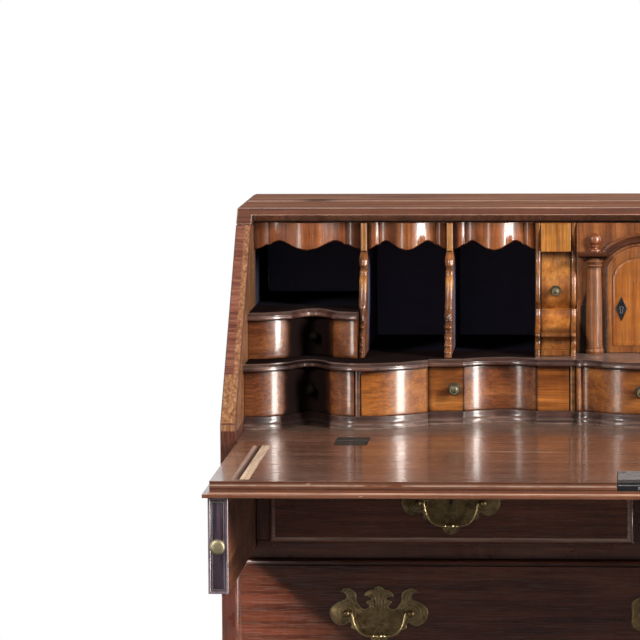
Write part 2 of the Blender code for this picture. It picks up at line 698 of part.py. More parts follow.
def bracket_base():
    """A frame with a moulded top edge, cut away between its feet on the front, the sides and the back."""
    outer = HALF_WIDTH + BASE_OVERHANG
    top = BASE_HEIGHT
    shelf = top - BASE_MOULDING_HEIGHT
    deep = (at(-BASE_OVERHANG), at(DEPTH))
    base = box("bracket_base", (-outer, outer), deep, (0, shelf + SINK), "carcase")
    step = outer - BASE_MOULDING_STEP
    moulding = moulded_box(
        "base_moulding", (-step, step), (at(BASE_MOULDING_STEP - BASE_OVERHANG), at(DEPTH)),
        (shelf, top), BASE_MOULDING_STEP / 2, "carcase",
    )
    join(base, moulding)
    well = outer - BASE_WALL
    hollow = box(
        "base_well", (-well, well), (at(BASE_WALL - BASE_OVERHANG), at(DEPTH - BASE_WALL)),
        (-OVERRUN, top + OVERRUN), "carcase",
    )
    front_gap = slab(
        "foot_gap_front", foot_opening(outer - FOOT_LENGTH, FOOT_HEIGHT), "front",
        (at(-BASE_OVERHANG - OVERRUN), at(DEPTH + OVERRUN)), "carcase",
    )
    half_depth = (DEPTH + BASE_OVERHANG) / 2
    side_outline = foot_opening(half_depth - FOOT_LENGTH, FOOT_HEIGHT)
    middle = at(half_depth - BASE_OVERHANG)
    side_gap = slab(
        "foot_gap_side", [(middle + along, up) for along, up in side_outline], "side",
        (-outer - OVERRUN, outer + OVERRUN), "carcase",
    )
    cut(base, hollow, front_gap, side_gap)


def hinge_leaf(name, side, moving):
    """One leaf of a back-flap hinge, with its share of the knuckles on the axis."""
    middle = side * HINGE_PLACE_SHARE * HALF_INSIDE
    low = middle - HINGE_WIDTH / 2
    knuckle = HINGE_WIDTH / KNUCKLES
    away = -1 if moving else 1
    clear = HINGE_BARREL_RADIUS + RUNNING
    flush = (WRITING_HEIGHT - HINGE_THICKNESS, WRITING_HEIGHT)
    leaf = box(
        name, (low, low + HINGE_WIDTH), sorted((at(away * clear), at(away * HINGE_LEAF))), flush, "iron",
    )
    for number in range(KNUCKLES):
        if (number % 2 == 0) != moving:
            continue
        ends = (low + number * knuckle + CLEARANCE, low + (number + 1) * knuckle - CLEARANCE)
        tab = box(f"{name}_tab_{number}", ends, sorted((at(0), at(away * (clear + SINK)))), flush, "iron")
        barrel = turned(
            f"{name}_barrel_{number}", BARREL_SHARES, HINGE_BARREL_RADIUS, ends[1] - ends[0], "iron",
        )
        barrel.rotation_euler = (0, math.pi / 2, 0)
        barrel.location = (ends[0], at(0), WRITING_HEIGHT)
        join(leaf, tab, barrel)
    return leaf


def hinge_pocket(name, side):
    """The shallow recess for both leaves and their barrel."""
    middle = side * HINGE_PLACE_SHARE * HALF_INSIDE
    across = (middle - HINGE_WIDTH / 2 - CLEARANCE, middle + HINGE_WIDTH / 2 + CLEARANCE)
    reach = HINGE_LEAF + CLEARANCE
    pocket = box(
        name, across, (at(-reach), at(reach)),
        (WRITING_HEIGHT - HINGE_THICKNESS - CLEARANCE, WRITING_HEIGHT + OVERRUN), "iron",
    )
    trench = HINGE_BARREL_RADIUS + 2 * CLEARANCE
    trench_depth = (WRITING_HEIGHT - trench, WRITING_HEIGHT)
    groove = box(name + "_trench", across, (at(-trench), at(trench)), trench_depth, "iron")
    return pocket, groove


def fall():
    """The writing flap, its lock and its hinges. It turns on the front edge of the bed."""
    half_body = HALF_INSIDE - FALL_BODY_GAP
    half_lip = HALF_INSIDE + FALL_LIP_SIDE
    body_front = -FALL_REACH + FALL_LIP_FRONT
    body_bottom = WRITING_HEIGHT - FALL_BODY
    board = box(
        "fall_board", (-half_body, half_body), (at(body_front), at(-CLEARANCE)),
        (body_bottom, WRITING_HEIGHT), "carcase",
    )
    lip = moulded_box(
        "fall_lip", (-half_lip, half_lip), (at(-FALL_REACH), at(-2 * CLEARANCE)),
        (body_bottom - FALL_LIP, body_bottom + CLEARANCE), FALL_LIP_ROUND / 2, "carcase", 2,
    )
    join(board, lip)

    slot_side = -HALF_INSIDE + SLOT_INSET
    slot = box(
        "slip_slot", (slot_side, slot_side + SLOT_WIDTH),
        (at(-SLOT_FROM_HINGE - SLOT_LENGTH), at(-SLOT_FROM_HINGE)),
        (WRITING_HEIGHT - SLOT_DEPTH, WRITING_HEIGHT + OVERRUN), "carcase",
    )
    lock_half = LOCK_WIDTH / 2
    lock_back = body_front + LOCK_DEPTH
    lock_bottom = WRITING_HEIGHT - LOCK_THICKNESS
    pocket = box(
        "lock_pocket", (-lock_half - CLEARANCE, lock_half + CLEARANCE),
        (at(-FALL_REACH - OVERRUN), at(lock_back + CLEARANCE)),
        (lock_bottom - CLEARANCE, WRITING_HEIGHT + OVERRUN), "carcase",
    )
    cut(board, slot, pocket)
    floor = WRITING_HEIGHT - SLOT_DEPTH + CLEARANCE
    wide = SLOT_WIDTH - 2 * CLEARANCE
    section = [
        (slot_side + CLEARANCE + wide * across, floor + (WRITING_HEIGHT - floor) * up)
        for across, up in SLIP_SHARES
    ]
    ends = (at(-SLOT_FROM_HINGE - SLOT_LENGTH + CLEARANCE), at(-SLOT_FROM_HINGE - CLEARANCE))
    slip = slab("fall_slip", section, "front", ends, "slip")
    lock = box(
        "fall_lock", (-lock_half, lock_half), (at(body_front), at(lock_back)),
        (lock_bottom, WRITING_HEIGHT), "iron",
    )

    bed = bpy.data.objects["writing_bed"]
    moving = [board, slip, lock]
    for word, side in SIDES:
        cut(board, *hinge_pocket("fall_hinge_pocket_" + word, side))
        cut(bed, *hinge_pocket("bed_hinge_pocket_" + word, side))
        moving.append(hinge_leaf("fall_hinge_leaf_" + word, side, True))
        hinge_leaf("bed_hinge_leaf_" + word, side, False)
    hinge("fall_hinge", (0, at(0), WRITING_HEIGHT), moving, "X", -FALL_OPENS, 0)


def lopers():
    """The two slides that carry the open fall."""
    for word, side in SIDES:
        across = mirrored((HALF_INSIDE - RUNNING - LOPER_WIDTH, HALF_INSIDE - RUNNING), side)
        loper = moulded_box(
            "loper_" + word, across, (at(LOPER_FRONT), at(LOPER_FRONT + LOPER_LENGTH)),
            (LOPER_BOTTOM, LOPER_TOP), EDGE_ROUND, "loper", 1,
        )
        spot = (sum(across) / 2, at(LOPER_FRONT), (LOPER_BOTTOM + LOPER_TOP) / 2)
        join(loper, pull_knob(f"loper_{word}_knob", spot, LOPER_KNOB_RADIUS, LOPER_KNOB_LENGTH))
        slide("loper_slide_" + word, spot, [loper], 0, LOPER_OUT + LOPER_SET_BACK)


def plate_outline(across, height):
    """The batwing plate round its posts' level."""
    half = []
    for out, up in PLATE_SHARES:
        reach = PLATE_ABOVE if up > 0 else PLATE_BELOW
        half.append((out * PLATE_WIDTH / 2, up * reach))
    right = [(across + out, height + up) for out, up in half]
    left = [(across - out, height + up) for out, up in reversed(half[1:-1])]
    return right + left


def bail(name, across, height, front):
    """The swinging pull: a rod that drops from between the posts, with its ends on their common axis."""
    reach = POST_SPACING / 2 - POST_RADIUS - CLEARANCE
    curve = bpy.data.curves.new(name, "CURVE")
    curve.dimensions = "3D"
    curve.bevel_depth = BAIL_ROD_RADIUS
    curve.bevel_resolution = 1
    curve.use_fill_caps = True
    half = [(reach * (inward - 1), -BAIL_DROP * down) for inward, down in BAIL_SHARES]
    points = half + [(0, -BAIL_DROP)] + [(-along, up) for along, up in reversed(half)]
    spline = curve.splines.new("POLY")
    spline.points.add(len(points) - 1)
    for point, (along, up) in zip(spline.points, points):
        point.co = (across + along, front, height + up, 1)
    pull = place(name, mesh_of_curve(curve), "brass")
    pull.data.shade_smooth()
    hinge(name + "_swing", (across, front, height), [pull], "X", -BAIL_SWING, 0)


def handle(drawer, name, across, height):
    """Plate and posts on the drawer, and the bail that swings between the posts."""
    face = at(-DRAWER_PROUD)
    plate = slab(
        name + "_plate", plate_outline(across, height), "front",
        (face - PLATE_THICKNESS, face + SINK), "brass",
    )
    join(drawer, plate)
    for word, side in SIDES:
        post = turned(
            f"{name}_post_{word}", POST_SHARES, POST_RADIUS, POST_LENGTH + SINK, "brass", POST_STEPS,
        )
        post.rotation_euler = (math.pi / 2, 0, 0)
        post.location = (across + side * POST_SPACING / 2, face + SINK, height)
        join(drawer, post)
    bail(name + "_bail", across, height, face - BAIL_STANDOFF)


def lipped_drawer(name, span, zs):
    """A drawer whose moulded front closes over the edges of its opening."""
    front = moulded_box(
        name, (span[0] - DRAWER_LIP, span[1] + DRAWER_LIP), (at(-DRAWER_PROUD), at(-CLEARANCE)),
        (zs[0] - DRAWER_LIP, zs[1] + DRAWER_LIP), DRAWER_MOULDING, "carcase",
    )
    start, end = span[0] + RUNNING, span[1] - RUNNING
    floor, top = zs[0] + CLEARANCE, zs[1] - RUNNING
    back = INNER_BACK - DRAWER_BACK_GAP
    body = box(name + "_body", (start, end), (at(-2 * CLEARANCE), at(back)), (floor, top), "oak")
    inside = (start + DRAWER_WALL, end - DRAWER_WALL)
    length = (at(DRAWER_FRONT - DRAWER_PROUD), at(back - DRAWER_WALL))
    cavity = box(name + "_cavity", inside, length, (floor + DRAWER_BOTTOM, top + OVERRUN), "oak")
    join(front, body)
    cut(front, cavity)
    slide(name + "_slide", (sum(span) / 2, at(0), floor), [front], DRAWER_TRAVEL)
    return front


def outside_drawers():
    """Two top drawers beside each other and three long ones, with their handles."""
    row = (TOP_ROW_FLOOR, BED_UNDERSIDE - CLEARANCE - 2 * DRAWER_LIP)
    for word, side in SIDES:
        span = mirrored((MUNTIN_WIDTH / 2, PARTITION_PLACE - PARTITION_THICKNESS), side)
        drawer = lipped_drawer("top_drawer_" + word, span, row)
        height = sum(row) / 2
        handle(drawer, "top_handle_" + word, sum(span) / 2, height)
    names = ("long_drawer_upper", "long_drawer_middle", "long_drawer_lower")
    for name, zs in zip(names, long_drawer_openings()):
        drawer = lipped_drawer(name, (-HALF_INSIDE, HALF_INSIDE), zs)
        height = sum(zs) / 2 + HANDLE_RISE
        for word, side in SIDES:
            handle(drawer, f"{name}_handle_{word}", side * HANDLE_PLACE, height)
        face = at(-DRAWER_PROUD)
        plate = (face - PLATE_THICKNESS, face + SINK)
        join(drawer, slab(name + "_escutcheon", shield_outline(height), "front", plate, "brass"))


def shield_outline(height):
    """A small keyhole plate in the middle of a drawer: an oval drawn in at its waist."""
    points = []
    for step in range(ROUND_STEPS):
        angle = 2 * math.pi * step / ROUND_STEPS
        waist = 1 - ESCUTCHEON_WAIST_SHARE * math.cos(2 * angle) ** 2
        across = ESCUTCHEON_WIDTH / 2 * waist * math.sin(angle)
        points.append((across, height + ESCUTCHEON_HEIGHT / 2 * math.cos(angle)))
    return points


def gallery_boards():
    """The interior's moulded base with its short dividers, the main shelf and the side shelves."""
    start, end = -HALF_INSIDE + CLEARANCE, HALF_INSIDE - CLEARANCE
    base = serpentine_board(
        "gallery_base", start, end, (WRITING_HEIGHT + CLEARANCE, LOWER_DRAWER_FLOOR), BASE_EDGE_SHARES,
        "interior",
    )
    serpentine_board(
        "main_shelf", start, end, (MAIN_SHELF_FLOOR, MAIN_SHELF_TOP), SHELF_EDGE_SHARES, "interior",
    )
    for word, side in SIDES:
        for number, middle in enumerate((OUTER_DIVIDER, DOCUMENT_INNER)):
            across = (side * middle - GALLERY_WALL / 2, side * middle + GALLERY_WALL / 2)
            front = max(behind for _, behind in gallery_front(*across)) + CLEARANCE
            post = box(
                f"lower_divider_{word}_{number}", across, (at(front), at(INNER_BACK - CLEARANCE)),
                (LOWER_DRAWER_FLOOR - SINK, MAIN_SHELF_FLOOR - CLEARANCE), "interior",
            )
            join(base, post)
        span = mirrored((OUTER_DIVIDER + GALLERY_WALL / 2 + CLEARANCE, HALF_INSIDE - CLEARANCE), side)
        serpentine_board(
            "side_shelf_" + word, *span, (SIDE_SHELF_FLOOR, SIDE_SHELF_TOP), SHELF_EDGE_SHARES, "interior",
            TIER_SETBACK,
        )


def divider_outline():
    """A carved divider from the side: a square head, then beads down a line that rakes forward."""
    top, foot = TOP_UNDERSIDE - CLEARANCE, MAIN_SHELF_TOP + CLEARANCE
    head = top - VALANCE_DROP
    outline = [(at(INNER_BACK - CLEARANCE), top), (at(GALLERY_FACE), top), (at(GALLERY_FACE), head)]
    start = GALLERY_FACE + CARVING_BEAD
    rake = DIVIDER_FOOT + CARVING_BEAD - start
    for down, bead in CARVING_SHARES:
        behind = start + rake * down - CARVING_BEAD * bead
        outline.append((at(behind), head - (head - foot) * down))
    outline.append((at(INNER_BACK - CLEARANCE), foot))
    return outline


def dividers():
    """The carved dividers, each notched at its head for the valance that crosses it."""
    for name, middle in (("outer", OUTER_DIVIDER), ("inner", INNER_DIVIDER)):
        for word, side in SIDES:
            across = (side * middle - DIVIDER_BOARD / 2, side * middle + DIVIDER_BOARD / 2)
            divider = slab(f"divider_{name}_{word}", divider_outline(), "side", across, "interior")
            notch = box(
                f"divider_notch_{name}_{word}", (across[0] - OVERRUN, across[1] + OVERRUN),
                (at(VALANCE_FACE - CLEARANCE), at(VALANCE_BACK + CLEARANCE)),
                (TOP_UNDERSIDE - VALANCE_DROP - CLEARANCE, TOP_UNDERSIDE + OVERRUN), "interior",
            )
            cut(divider, notch)


def valances():
    """On each side one strip with three scalloped bays, its face rippled in plan."""
    edges = (
        (DOCUMENT_OUTER + DOCUMENT_WALL / 2 + CLEARANCE, INNER_DIVIDER - DIVIDER_BOARD / 2),
        (INNER_DIVIDER + DIVIDER_BOARD / 2, OUTER_DIVIDER - DIVIDER_BOARD / 2),
        (OUTER_DIVIDER + DIVIDER_BOARD / 2, HALF_INSIDE - CLEARANCE),
    )
    top = TOP_UNDERSIDE - CLEARANCE
    for word, side in SIDES:
        rings = []
        for start, end in edges:
            for along, drop in VALANCE_SHARES:
                ripple = (1 - math.cos(2 * math.pi * VALANCE_RIPPLES * along)) / 2
                front = VALANCE_FACE - VALANCE_WAVE * ripple
                across = side * (start + (end - start) * along)
                bottom = TOP_UNDERSIDE - VALANCE_DROP * drop
                rings.append([
                    Vector((across, at(front), top)), Vector((across, at(front), bottom)),
                    Vector((across, at(VALANCE_BACK), bottom)), Vector((across, at(VALANCE_BACK), top)),
                ])
        lofted("valance_" + word, rings, "carcase")


def document_front(proud=0):
    """Depth and height down a document drawer's front, or down the walls beside it, which stand proud."""
    top = TOP_UNDERSIDE - DOCUMENT_BLOCK_HEIGHT
    foot = MAIN_SHELF_TOP + CLEARANCE
    return [
        (GALLERY_FACE - DOCUMENT_SWELL * swell - proud, top - (top - foot) * down)
        for down, swell in DOCUMENT_SHARES
    ]


def document_cases():
    """Each case is two shaped walls with a block between their heads, and holds one upright drawer."""
    back = at(INNER_BACK - CLEARANCE)
    top, foot = TOP_UNDERSIDE - CLEARANCE, MAIN_SHELF_TOP + CLEARANCE
    for word, side in SIDES:
        shaped = [(at(behind), height) for behind, height in document_front(DOCUMENT_WALL_PROUD)]
        outline = [(back, top), (at(GALLERY_FACE), top)] + shaped + [(back, foot)]
        walls = []
        for number, middle in enumerate((DOCUMENT_OUTER, DOCUMENT_INNER)):
            across = (side * middle - DOCUMENT_WALL / 2, side * middle + DOCUMENT_WALL / 2)
            name = "document_case_" + word if number == 0 else "document_wall_" + word
            walls.append(slab(name, outline, "side", across, "interior"))
        between = mirrored((DOCUMENT_INNER + DOCUMENT_WALL / 2, DOCUMENT_OUTER - DOCUMENT_WALL / 2), side)
        block = box(
            "document_block_" + word, (between[0] - SINK, between[1] + SINK),
            (at(GALLERY_FACE + CLEARANCE), at(GALLERY_FACE + DOCUMENT_BLOCK_DEPTH)),
            (TOP_UNDERSIDE - DOCUMENT_BLOCK_HEIGHT, top - CLEARANCE), "panel",
        )
        join(walls[0], walls[1], block)

        start, end = between[0] + RUNNING, between[1] - RUNNING
        shape = document_front()
        rear = INNER_BACK - DRAWER_BACK_GAP
        drawer_top = shape[0][1] - RUNNING
        face = [(at(behind), min(height + CLEARANCE, drawer_top)) for behind, height in shape]
        name = "document_drawer_" + word
        profile = [(at(rear), drawer_top)] + face + [(at(rear), foot + CLEARANCE)]
        drawer = slab(name, profile, "side", (start, end), "panel")
        hollow = GALLERY_FACE - DOCUMENT_SWELL * DOCUMENT_SHARES[0][1] + SMALL_FRONT
        cavity = box(
            name + "_cavity", (start + SMALL_WALL, end - SMALL_WALL), (at(hollow), at(rear - SMALL_WALL)),
            (foot + SMALL_BOTTOM, drawer_top + OVERRUN), "panel",
        )
        cut(drawer, cavity)
        middle = sum(between) / 2
        behind, height = shape[DOCUMENT_KNOB_POINT]
        join(drawer, pull_knob(name + "_knob", (middle, at(behind), height), KNOB_RADIUS, KNOB_LENGTH))
        slide(name + "_slide", (middle, at(GALLERY_FACE), foot), [drawer], SMALL_TRAVEL)


def arch(half, spring, rise, steps=12):
    """An arc over an opening of twice this half-width, from its right spring to its left one."""
    radius = (half**2 + rise**2) / (2 * rise)
    spread = math.asin(half / radius)
    points = []
    for step in range(steps + 1):
        angle = spread * (1 - 2 * step / steps)
        points.append((radius * math.sin(angle), spring + rise + radius * (math.cos(angle) - 1)))
    return points


def prospect():
    """The arched front between the document cases, its split columns and its little door."""
    half = DOCUMENT_INNER - DOCUMENT_WALL / 2 - CLEARANCE
    foot = MAIN_SHELF_TOP + CLEARANCE
    spring = foot + DOOR_SHOULDER
    door_half = DOOR_WIDTH / 2
    thick = (at(GALLERY_FACE), at(GALLERY_FACE + PROSPECT_THICKNESS))
    frame = box("prospect_frame", (-half, half), thick, (foot, TOP_UNDERSIDE - CLEARANCE), "panel")
    capital = foot + COLUMN_HEIGHT * CAPITAL_SHARE + CLEARANCE
    rim = arch(ARCH_SPREAD / 2, capital, ARCH_RISE)
    proud = (thick[0] - ARCH_MOULDING_PROUD, thick[0] + SINK)
    join(frame, slab("arch_moulding", rim, "front", proud, "interior"))
    wide = door_half + RUNNING
    opening = [(wide, foot - OVERRUN)] + arch(wide, spring, DOOR_ARCH_RISE) + [(-wide, foot - OVERRUN)]
    cut(frame, slab("door_opening", opening, "front", (thick[0] - OVERRUN, thick[1] + OVERRUN), "panel"))

    door_foot = foot + CLEARANCE
    head = arch(door_half, spring - RUNNING, DOOR_ARCH_RISE)
    door_outline = [(door_half, door_foot)] + head + [(-door_half, door_foot)]
    door_thick = (thick[0], thick[0] + DOOR_THICKNESS)
    door = slab("prospect_door", door_outline, "front", door_thick, "panel")
    field = door_half - DOOR_RAIL
    tomb = door_half - DOOR_RAIL - DOOR_SHOULDER_STEP
    panel = [(field, foot + DOOR_FOOT_RAIL), (field, spring - DOOR_RAIL)]
    panel += arch(tomb, spring - DOOR_RAIL, DOOR_ARCH_RISE - DOOR_HEAD_RAIL + DOOR_RAIL)
    panel += [(-field, spring - DOOR_RAIL), (-field, foot + DOOR_FOOT_RAIL)]
    join(door, slab("door_panel", panel, "front", (thick[0] - DOOR_PANEL_PROUD, thick[0] + SINK), "panel"))
    across, height = DIAMOND_PLACE - door_half, foot + DIAMOND_RISE
    diamond = [
        (across + out * DIAMOND_WIDTH / 2, height + up * DIAMOND_HEIGHT / 2)
        for out, up in ((1, 0), (0, 1), (-1, 0), (0, -1))
    ]
    proud = thick[0] - DOOR_PANEL_PROUD
    join(door, slab("door_escutcheon", diamond, "front", (proud - DIAMOND_THICKNESS, proud + SINK), "iron"))
    hinge("prospect_door_hinge", (door_half, thick[0], foot), [door], "Z", 0, DOOR_OPENS)

    for word, side in SIDES:
        column = turned("column_" + word, COLUMN_SHARES, COLUMN_RADIUS, COLUMN_HEIGHT, "interior")
        column.location = (side * COLUMN_PLACE, thick[0] - CLEARANCE, foot)
        reach = 2 * COLUMN_RADIUS
        across = (side * COLUMN_PLACE - reach, side * COLUMN_PLACE + reach)
        behind = box(
            "column_back_" + word, across, (thick[0] - CLEARANCE, thick[0] + reach),
            (foot - OVERRUN, foot + COLUMN_HEIGHT + OVERRUN), "interior",
        )
        cut(column, behind)


def inside_drawers():
    """The serpentine drawers: one in the middle, a wide one and two side ones on each hand."""
    lower = (LOWER_DRAWER_FLOOR, MAIN_SHELF_FLOOR)
    upper = (MAIN_SHELF_TOP, SIDE_SHELF_FLOOR)
    wall = GALLERY_WALL / 2
    centre = DOCUMENT_INNER - wall
    serpentine_drawer("centre_drawer", (-centre, centre), lower, (0,))
    for word, side in SIDES:
        wide = mirrored((DOCUMENT_INNER + wall, OUTER_DIVIDER - wall), side)
        serpentine_drawer("wide_drawer_" + word, wide, lower, (side * WIDE_KNOB_SHARE * HALF_INSIDE,))
        outer = mirrored((OUTER_DIVIDER + wall, HALF_INSIDE), side)
        hollow = side * SIDE_KNOB_SHARE * HALF_INSIDE
        serpentine_drawer("side_drawer_lower_" + word, outer, lower, (hollow,))
        serpentine_drawer("side_drawer_upper_" + word, outer, upper, (hollow,), TIER_SETBACK)


clear_scene()
PARTS = collection("writing_desk")
CUTTERS = collection("cutters", True)
carcase()
bracket_base()
fall()
lopers()
outside_drawers()
gallery_boards()
dividers()
valances()
document_cases()
prospect()
inside_drawers()
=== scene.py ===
import json
import math

import bmesh
import bpy
import numpy as np
from mathutils import Matrix, Vector

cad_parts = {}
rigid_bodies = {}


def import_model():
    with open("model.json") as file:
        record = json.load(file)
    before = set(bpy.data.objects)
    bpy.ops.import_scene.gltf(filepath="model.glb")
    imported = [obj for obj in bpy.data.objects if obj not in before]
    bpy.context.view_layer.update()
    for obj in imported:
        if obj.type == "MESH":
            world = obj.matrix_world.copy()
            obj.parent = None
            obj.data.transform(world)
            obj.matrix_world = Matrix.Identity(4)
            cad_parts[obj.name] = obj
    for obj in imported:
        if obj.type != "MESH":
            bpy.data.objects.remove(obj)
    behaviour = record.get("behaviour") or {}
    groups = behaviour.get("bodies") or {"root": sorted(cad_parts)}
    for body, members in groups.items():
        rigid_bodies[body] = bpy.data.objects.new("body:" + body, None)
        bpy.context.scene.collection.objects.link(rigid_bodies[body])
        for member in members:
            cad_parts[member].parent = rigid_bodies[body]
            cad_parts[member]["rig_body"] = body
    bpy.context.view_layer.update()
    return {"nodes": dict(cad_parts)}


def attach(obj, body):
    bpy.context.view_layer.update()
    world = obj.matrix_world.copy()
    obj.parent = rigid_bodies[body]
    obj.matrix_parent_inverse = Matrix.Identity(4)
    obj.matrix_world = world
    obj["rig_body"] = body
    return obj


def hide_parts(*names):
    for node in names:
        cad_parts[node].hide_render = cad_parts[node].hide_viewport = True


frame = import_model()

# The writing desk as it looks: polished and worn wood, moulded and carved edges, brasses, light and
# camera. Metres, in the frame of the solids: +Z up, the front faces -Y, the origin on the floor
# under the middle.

# Sizes of the solids
FRONT_Y = -0.056
HALF_WIDTH = 0.500
HALF_INSIDE = 0.481
DEPTH = 0.463
INNER_BACK = 0.451
WRITING_HEIGHT = 0.760
UNDERSIDE = 1.000
TOP_HEIGHT = 1.020
LOWER_FLOOR = 0.775
SHELF_FLOOR = 0.8305
SHELF_TOP = 0.8385
SIDE_SHELF_FLOOR = 0.8865
SIDE_SHELF_TOP = 0.895
BASE_HEIGHT = 0.107
GAP = 0.0003
RUNNING = 0.0005
FACE_DEPTH = 0.2405  # plane of the prospect, behind the carcase front
TIER_SETBACK = 0.060
REAR = 0.439  # back of every drawer
GALLERY_FRONT = 0.104
GALLERY_SWEEP = 0.083
SHELF_LIP = 0.0085
OUTER_DIVIDER = 0.343434
INNER_DIVIDER = 0.236989
DOCUMENT_OUTER = 0.127946
DOCUMENT_INNER = 0.083983
THIN_LINING = 0.005  # linings of the little drawers
DRAWER_PROUD = 0.010  # fronts of the outside drawers, before the carcase front
HALF_POSTS = 0.0385  # half the distance between a handle's posts
PLATE_THICKNESS = 0.0014
FALL_REACH = 0.338  # front edge of the fall and of the lopers, before the carcase front
HEAD_DROP = 0.034  # valances' drop, and the square heads of the dividers
HEAD_BACK = 0.2600
WALL_HALF = 0.0036  # half the thickness of a divider's board
CASE_HEAD = 0.036  # the block over a document drawer
CASE_SWELL = 0.045  # reach of the carving on a document drawer
CASE_MIDDLE = 0.105965
CASE_KNOB = 0.916424
TOWARDS_FRONT = (0, -1, 0)
UPWARDS = (0, 0, 1)
SIDES = (("left", -1), ("right", 1))

# Serpentine plan from the middle to the side: shares of half the inside width where a run starts
# and ends, how far back it starts and ends in the sweep, and how much it swells forward
PLAN = np.array([
    (0.000, 0.102, 0.410, 0.590, 0.045),
    (0.102, 0.150, 0.590, 0.780, -0.036),
    (0.150, 0.166, 0.770, 0.750, 0.040),
    (0.166, 0.266, 0.795, 0.795, 0.000),
    (0.266, 0.451, 0.820, 0.747, -0.217),
    (0.451, 0.5405, 0.747, 0.700, 0.000),
    (0.5405, 0.714, 0.627, 0.108, 0.130),
    (0.714, 0.788, 0.108, 0.313, 0.051),
    (0.788, 0.890, 0.313, 0.313, -0.361),
    (0.890, 1.000, 0.313, 0.000, 0.078),
])


def at(depth):
    """World Y of a point this far behind the carcase front."""
    return FRONT_Y + depth


# Finishes


class Nodes:
    """A node tree, with short ways to add to it."""

    def __init__(self, tree):
        self.tree = tree

    def add(self, kind, inputs=None, **settings):
        """A new node with its settings; inputs hold plain values or the outputs to wire in."""
        node = self.tree.nodes.new(kind)
        for name, value in settings.items():
            setattr(node, name, value)
        for name, value in (inputs or {}).items():
            if isinstance(value, bpy.types.NodeSocket):
                self.tree.links.new(value, node.inputs[name])
            else:
                node.inputs[name].default_value = value
        return node

    def sum(self, operation, first, second=0.0, third=0.0, clamp=False):
        """The result of one operation of arithmetic."""
        values = {0: first, 1: second, 2: third}
        return self.add("ShaderNodeMath", values, operation=operation, use_clamp=clamp).outputs[0]

    def folded(self, operation, values):
        """One operation carried from the first value over all the others."""
        result = values[0]
        for value in values[1:]:
            result = self.sum(operation, result, value)
        return result

    def times(self, *values):
        """The product of the values."""
        return self.folded("MULTIPLY", values)

    def most(self, *values):
        """The greatest of the values."""
        return self.folded("MAXIMUM", values)

    def raised(self, value, other, share):
        """A value with a share of another one added, up to 1."""
        return self.sum("ADD", value, self.times(other, share), clamp=True)


class Finish(Nodes):
    """The node tree of one material."""

    def __init__(self, name, **sockets):
        self.material = bpy.data.materials.new(name)
        self.material.use_nodes = True
        super().__init__(self.material.node_tree)
        self.shader = self.tree.nodes["Principled BSDF"]
        self.place = self.add("ShaderNodeTexCoord").outputs["Object"]
        for socket, value in sockets.items():
            self.shader.inputs[socket.replace("_", " ")].default_value = value

    def wire(self, **sockets):
        """Leads values into the shader's sockets."""
        for socket, value in sockets.items():
            self.tree.links.new(value, self.shader.inputs[socket.replace("_", " ")])

    def stretched(self, scale, shift=(0, 0, 0), turn=(0, 0, 0)):
        """Object coordinates scaled by so much along each axis."""
        wanted = {"Vector": self.place, "Scale": scale, "Location": shift, "Rotation": turn}
        return self.add("ShaderNodeMapping", wanted).outputs["Vector"]

    def noise(self, place, scale=1.0, detail=3.0, roughness=0.5, distortion=0.0):
        """A cloudy pattern about 0.5."""
        wanted = {
            "Vector": place, "Scale": scale, "Detail": detail, "Roughness": roughness,
            "Distortion": distortion,
        }
        return self.add("ShaderNodeTexNoise", wanted).outputs["Fac"]

    def ramp(self, value, *stops):
        """Colours, or levels of grey, at places along the value's range."""
        node = self.add("ShaderNodeValToRGB", {"Fac": value})
        marks = node.color_ramp.elements
        while len(marks) < len(stops):
            marks.new(0.5)
        for mark, (place, color) in zip(marks, stops):
            mark.position = place
            grey = isinstance(color, (int, float))
            mark.color = (color, color, color, 1) if grey else (*color, 1)
        return node.outputs["Color"]

    def between(self, value, low, high):
        """0 at low and 1 at high, smooth in between; low may be the greater one."""
        wanted = {"Value": value, "From Min": low, "From Max": high}
        node = self.add("ShaderNodeMapRange", wanted, interpolation_type="SMOOTHSTEP")
        return node.outputs["Result"]

    def mix(self, share, under, over, blend="MIX"):
        """Colours mixed by a share: under at 0, over at 1."""
        node = self.add("ShaderNodeMix", data_type="RGBA", blend_type=blend)
        for index, value in ((0, share), (6, under), (7, over)):
            if isinstance(value, bpy.types.NodeSocket):
                self.tree.links.new(value, node.inputs[index])
            elif isinstance(value, (int, float)):
                node.inputs[index].default_value = value if index == 0 else (value, value, value, 1)
            else:
                node.inputs[index].default_value = (*value, 1)
        return node.outputs[2]

    def mark(self, name):
        """A piece's own measure of wear or dirt, 0 where it has none."""
        return self.add("ShaderNodeAttribute", attribute_name=name).outputs["Fac"]

    def bump(self, height, distance, strength=1.0, under=None):
        """A normal from heights, on top of another normal where one is given."""
        wanted = {"Height": height, "Distance": distance, "Strength": strength}
        if under is not None:
            wanted["Normal"] = under
        return self.add("ShaderNodeBump", wanted).outputs["Normal"]

    def finish(self, color, roughness, normal):
        """The material, with its colour, roughness and normal wired in."""
        self.wire(Base_Color=color, Roughness=roughness, Normal=normal)
        return self.material


def along(grain, length, width):
    """Scales for a pattern drawn out along the grain."""
    return tuple(length if axis == grain else width for axis in "XYZ")


STREAK_DIRT = (0.020, 0.011, 0.009)
# Near black, for dirt and for painted shade
BLACK_DIRT_AND_SHADE = (0.008, 0.005, 0.005)
BARE_WOOD = (0.62, 0.45, 0.35)
SCRATCH = (0.42, 0.31, 0.25)
TOP_DIRT = (0.030, 0.022, 0.020)
GREY_DUST = (0.27, 0.20, 0.165)


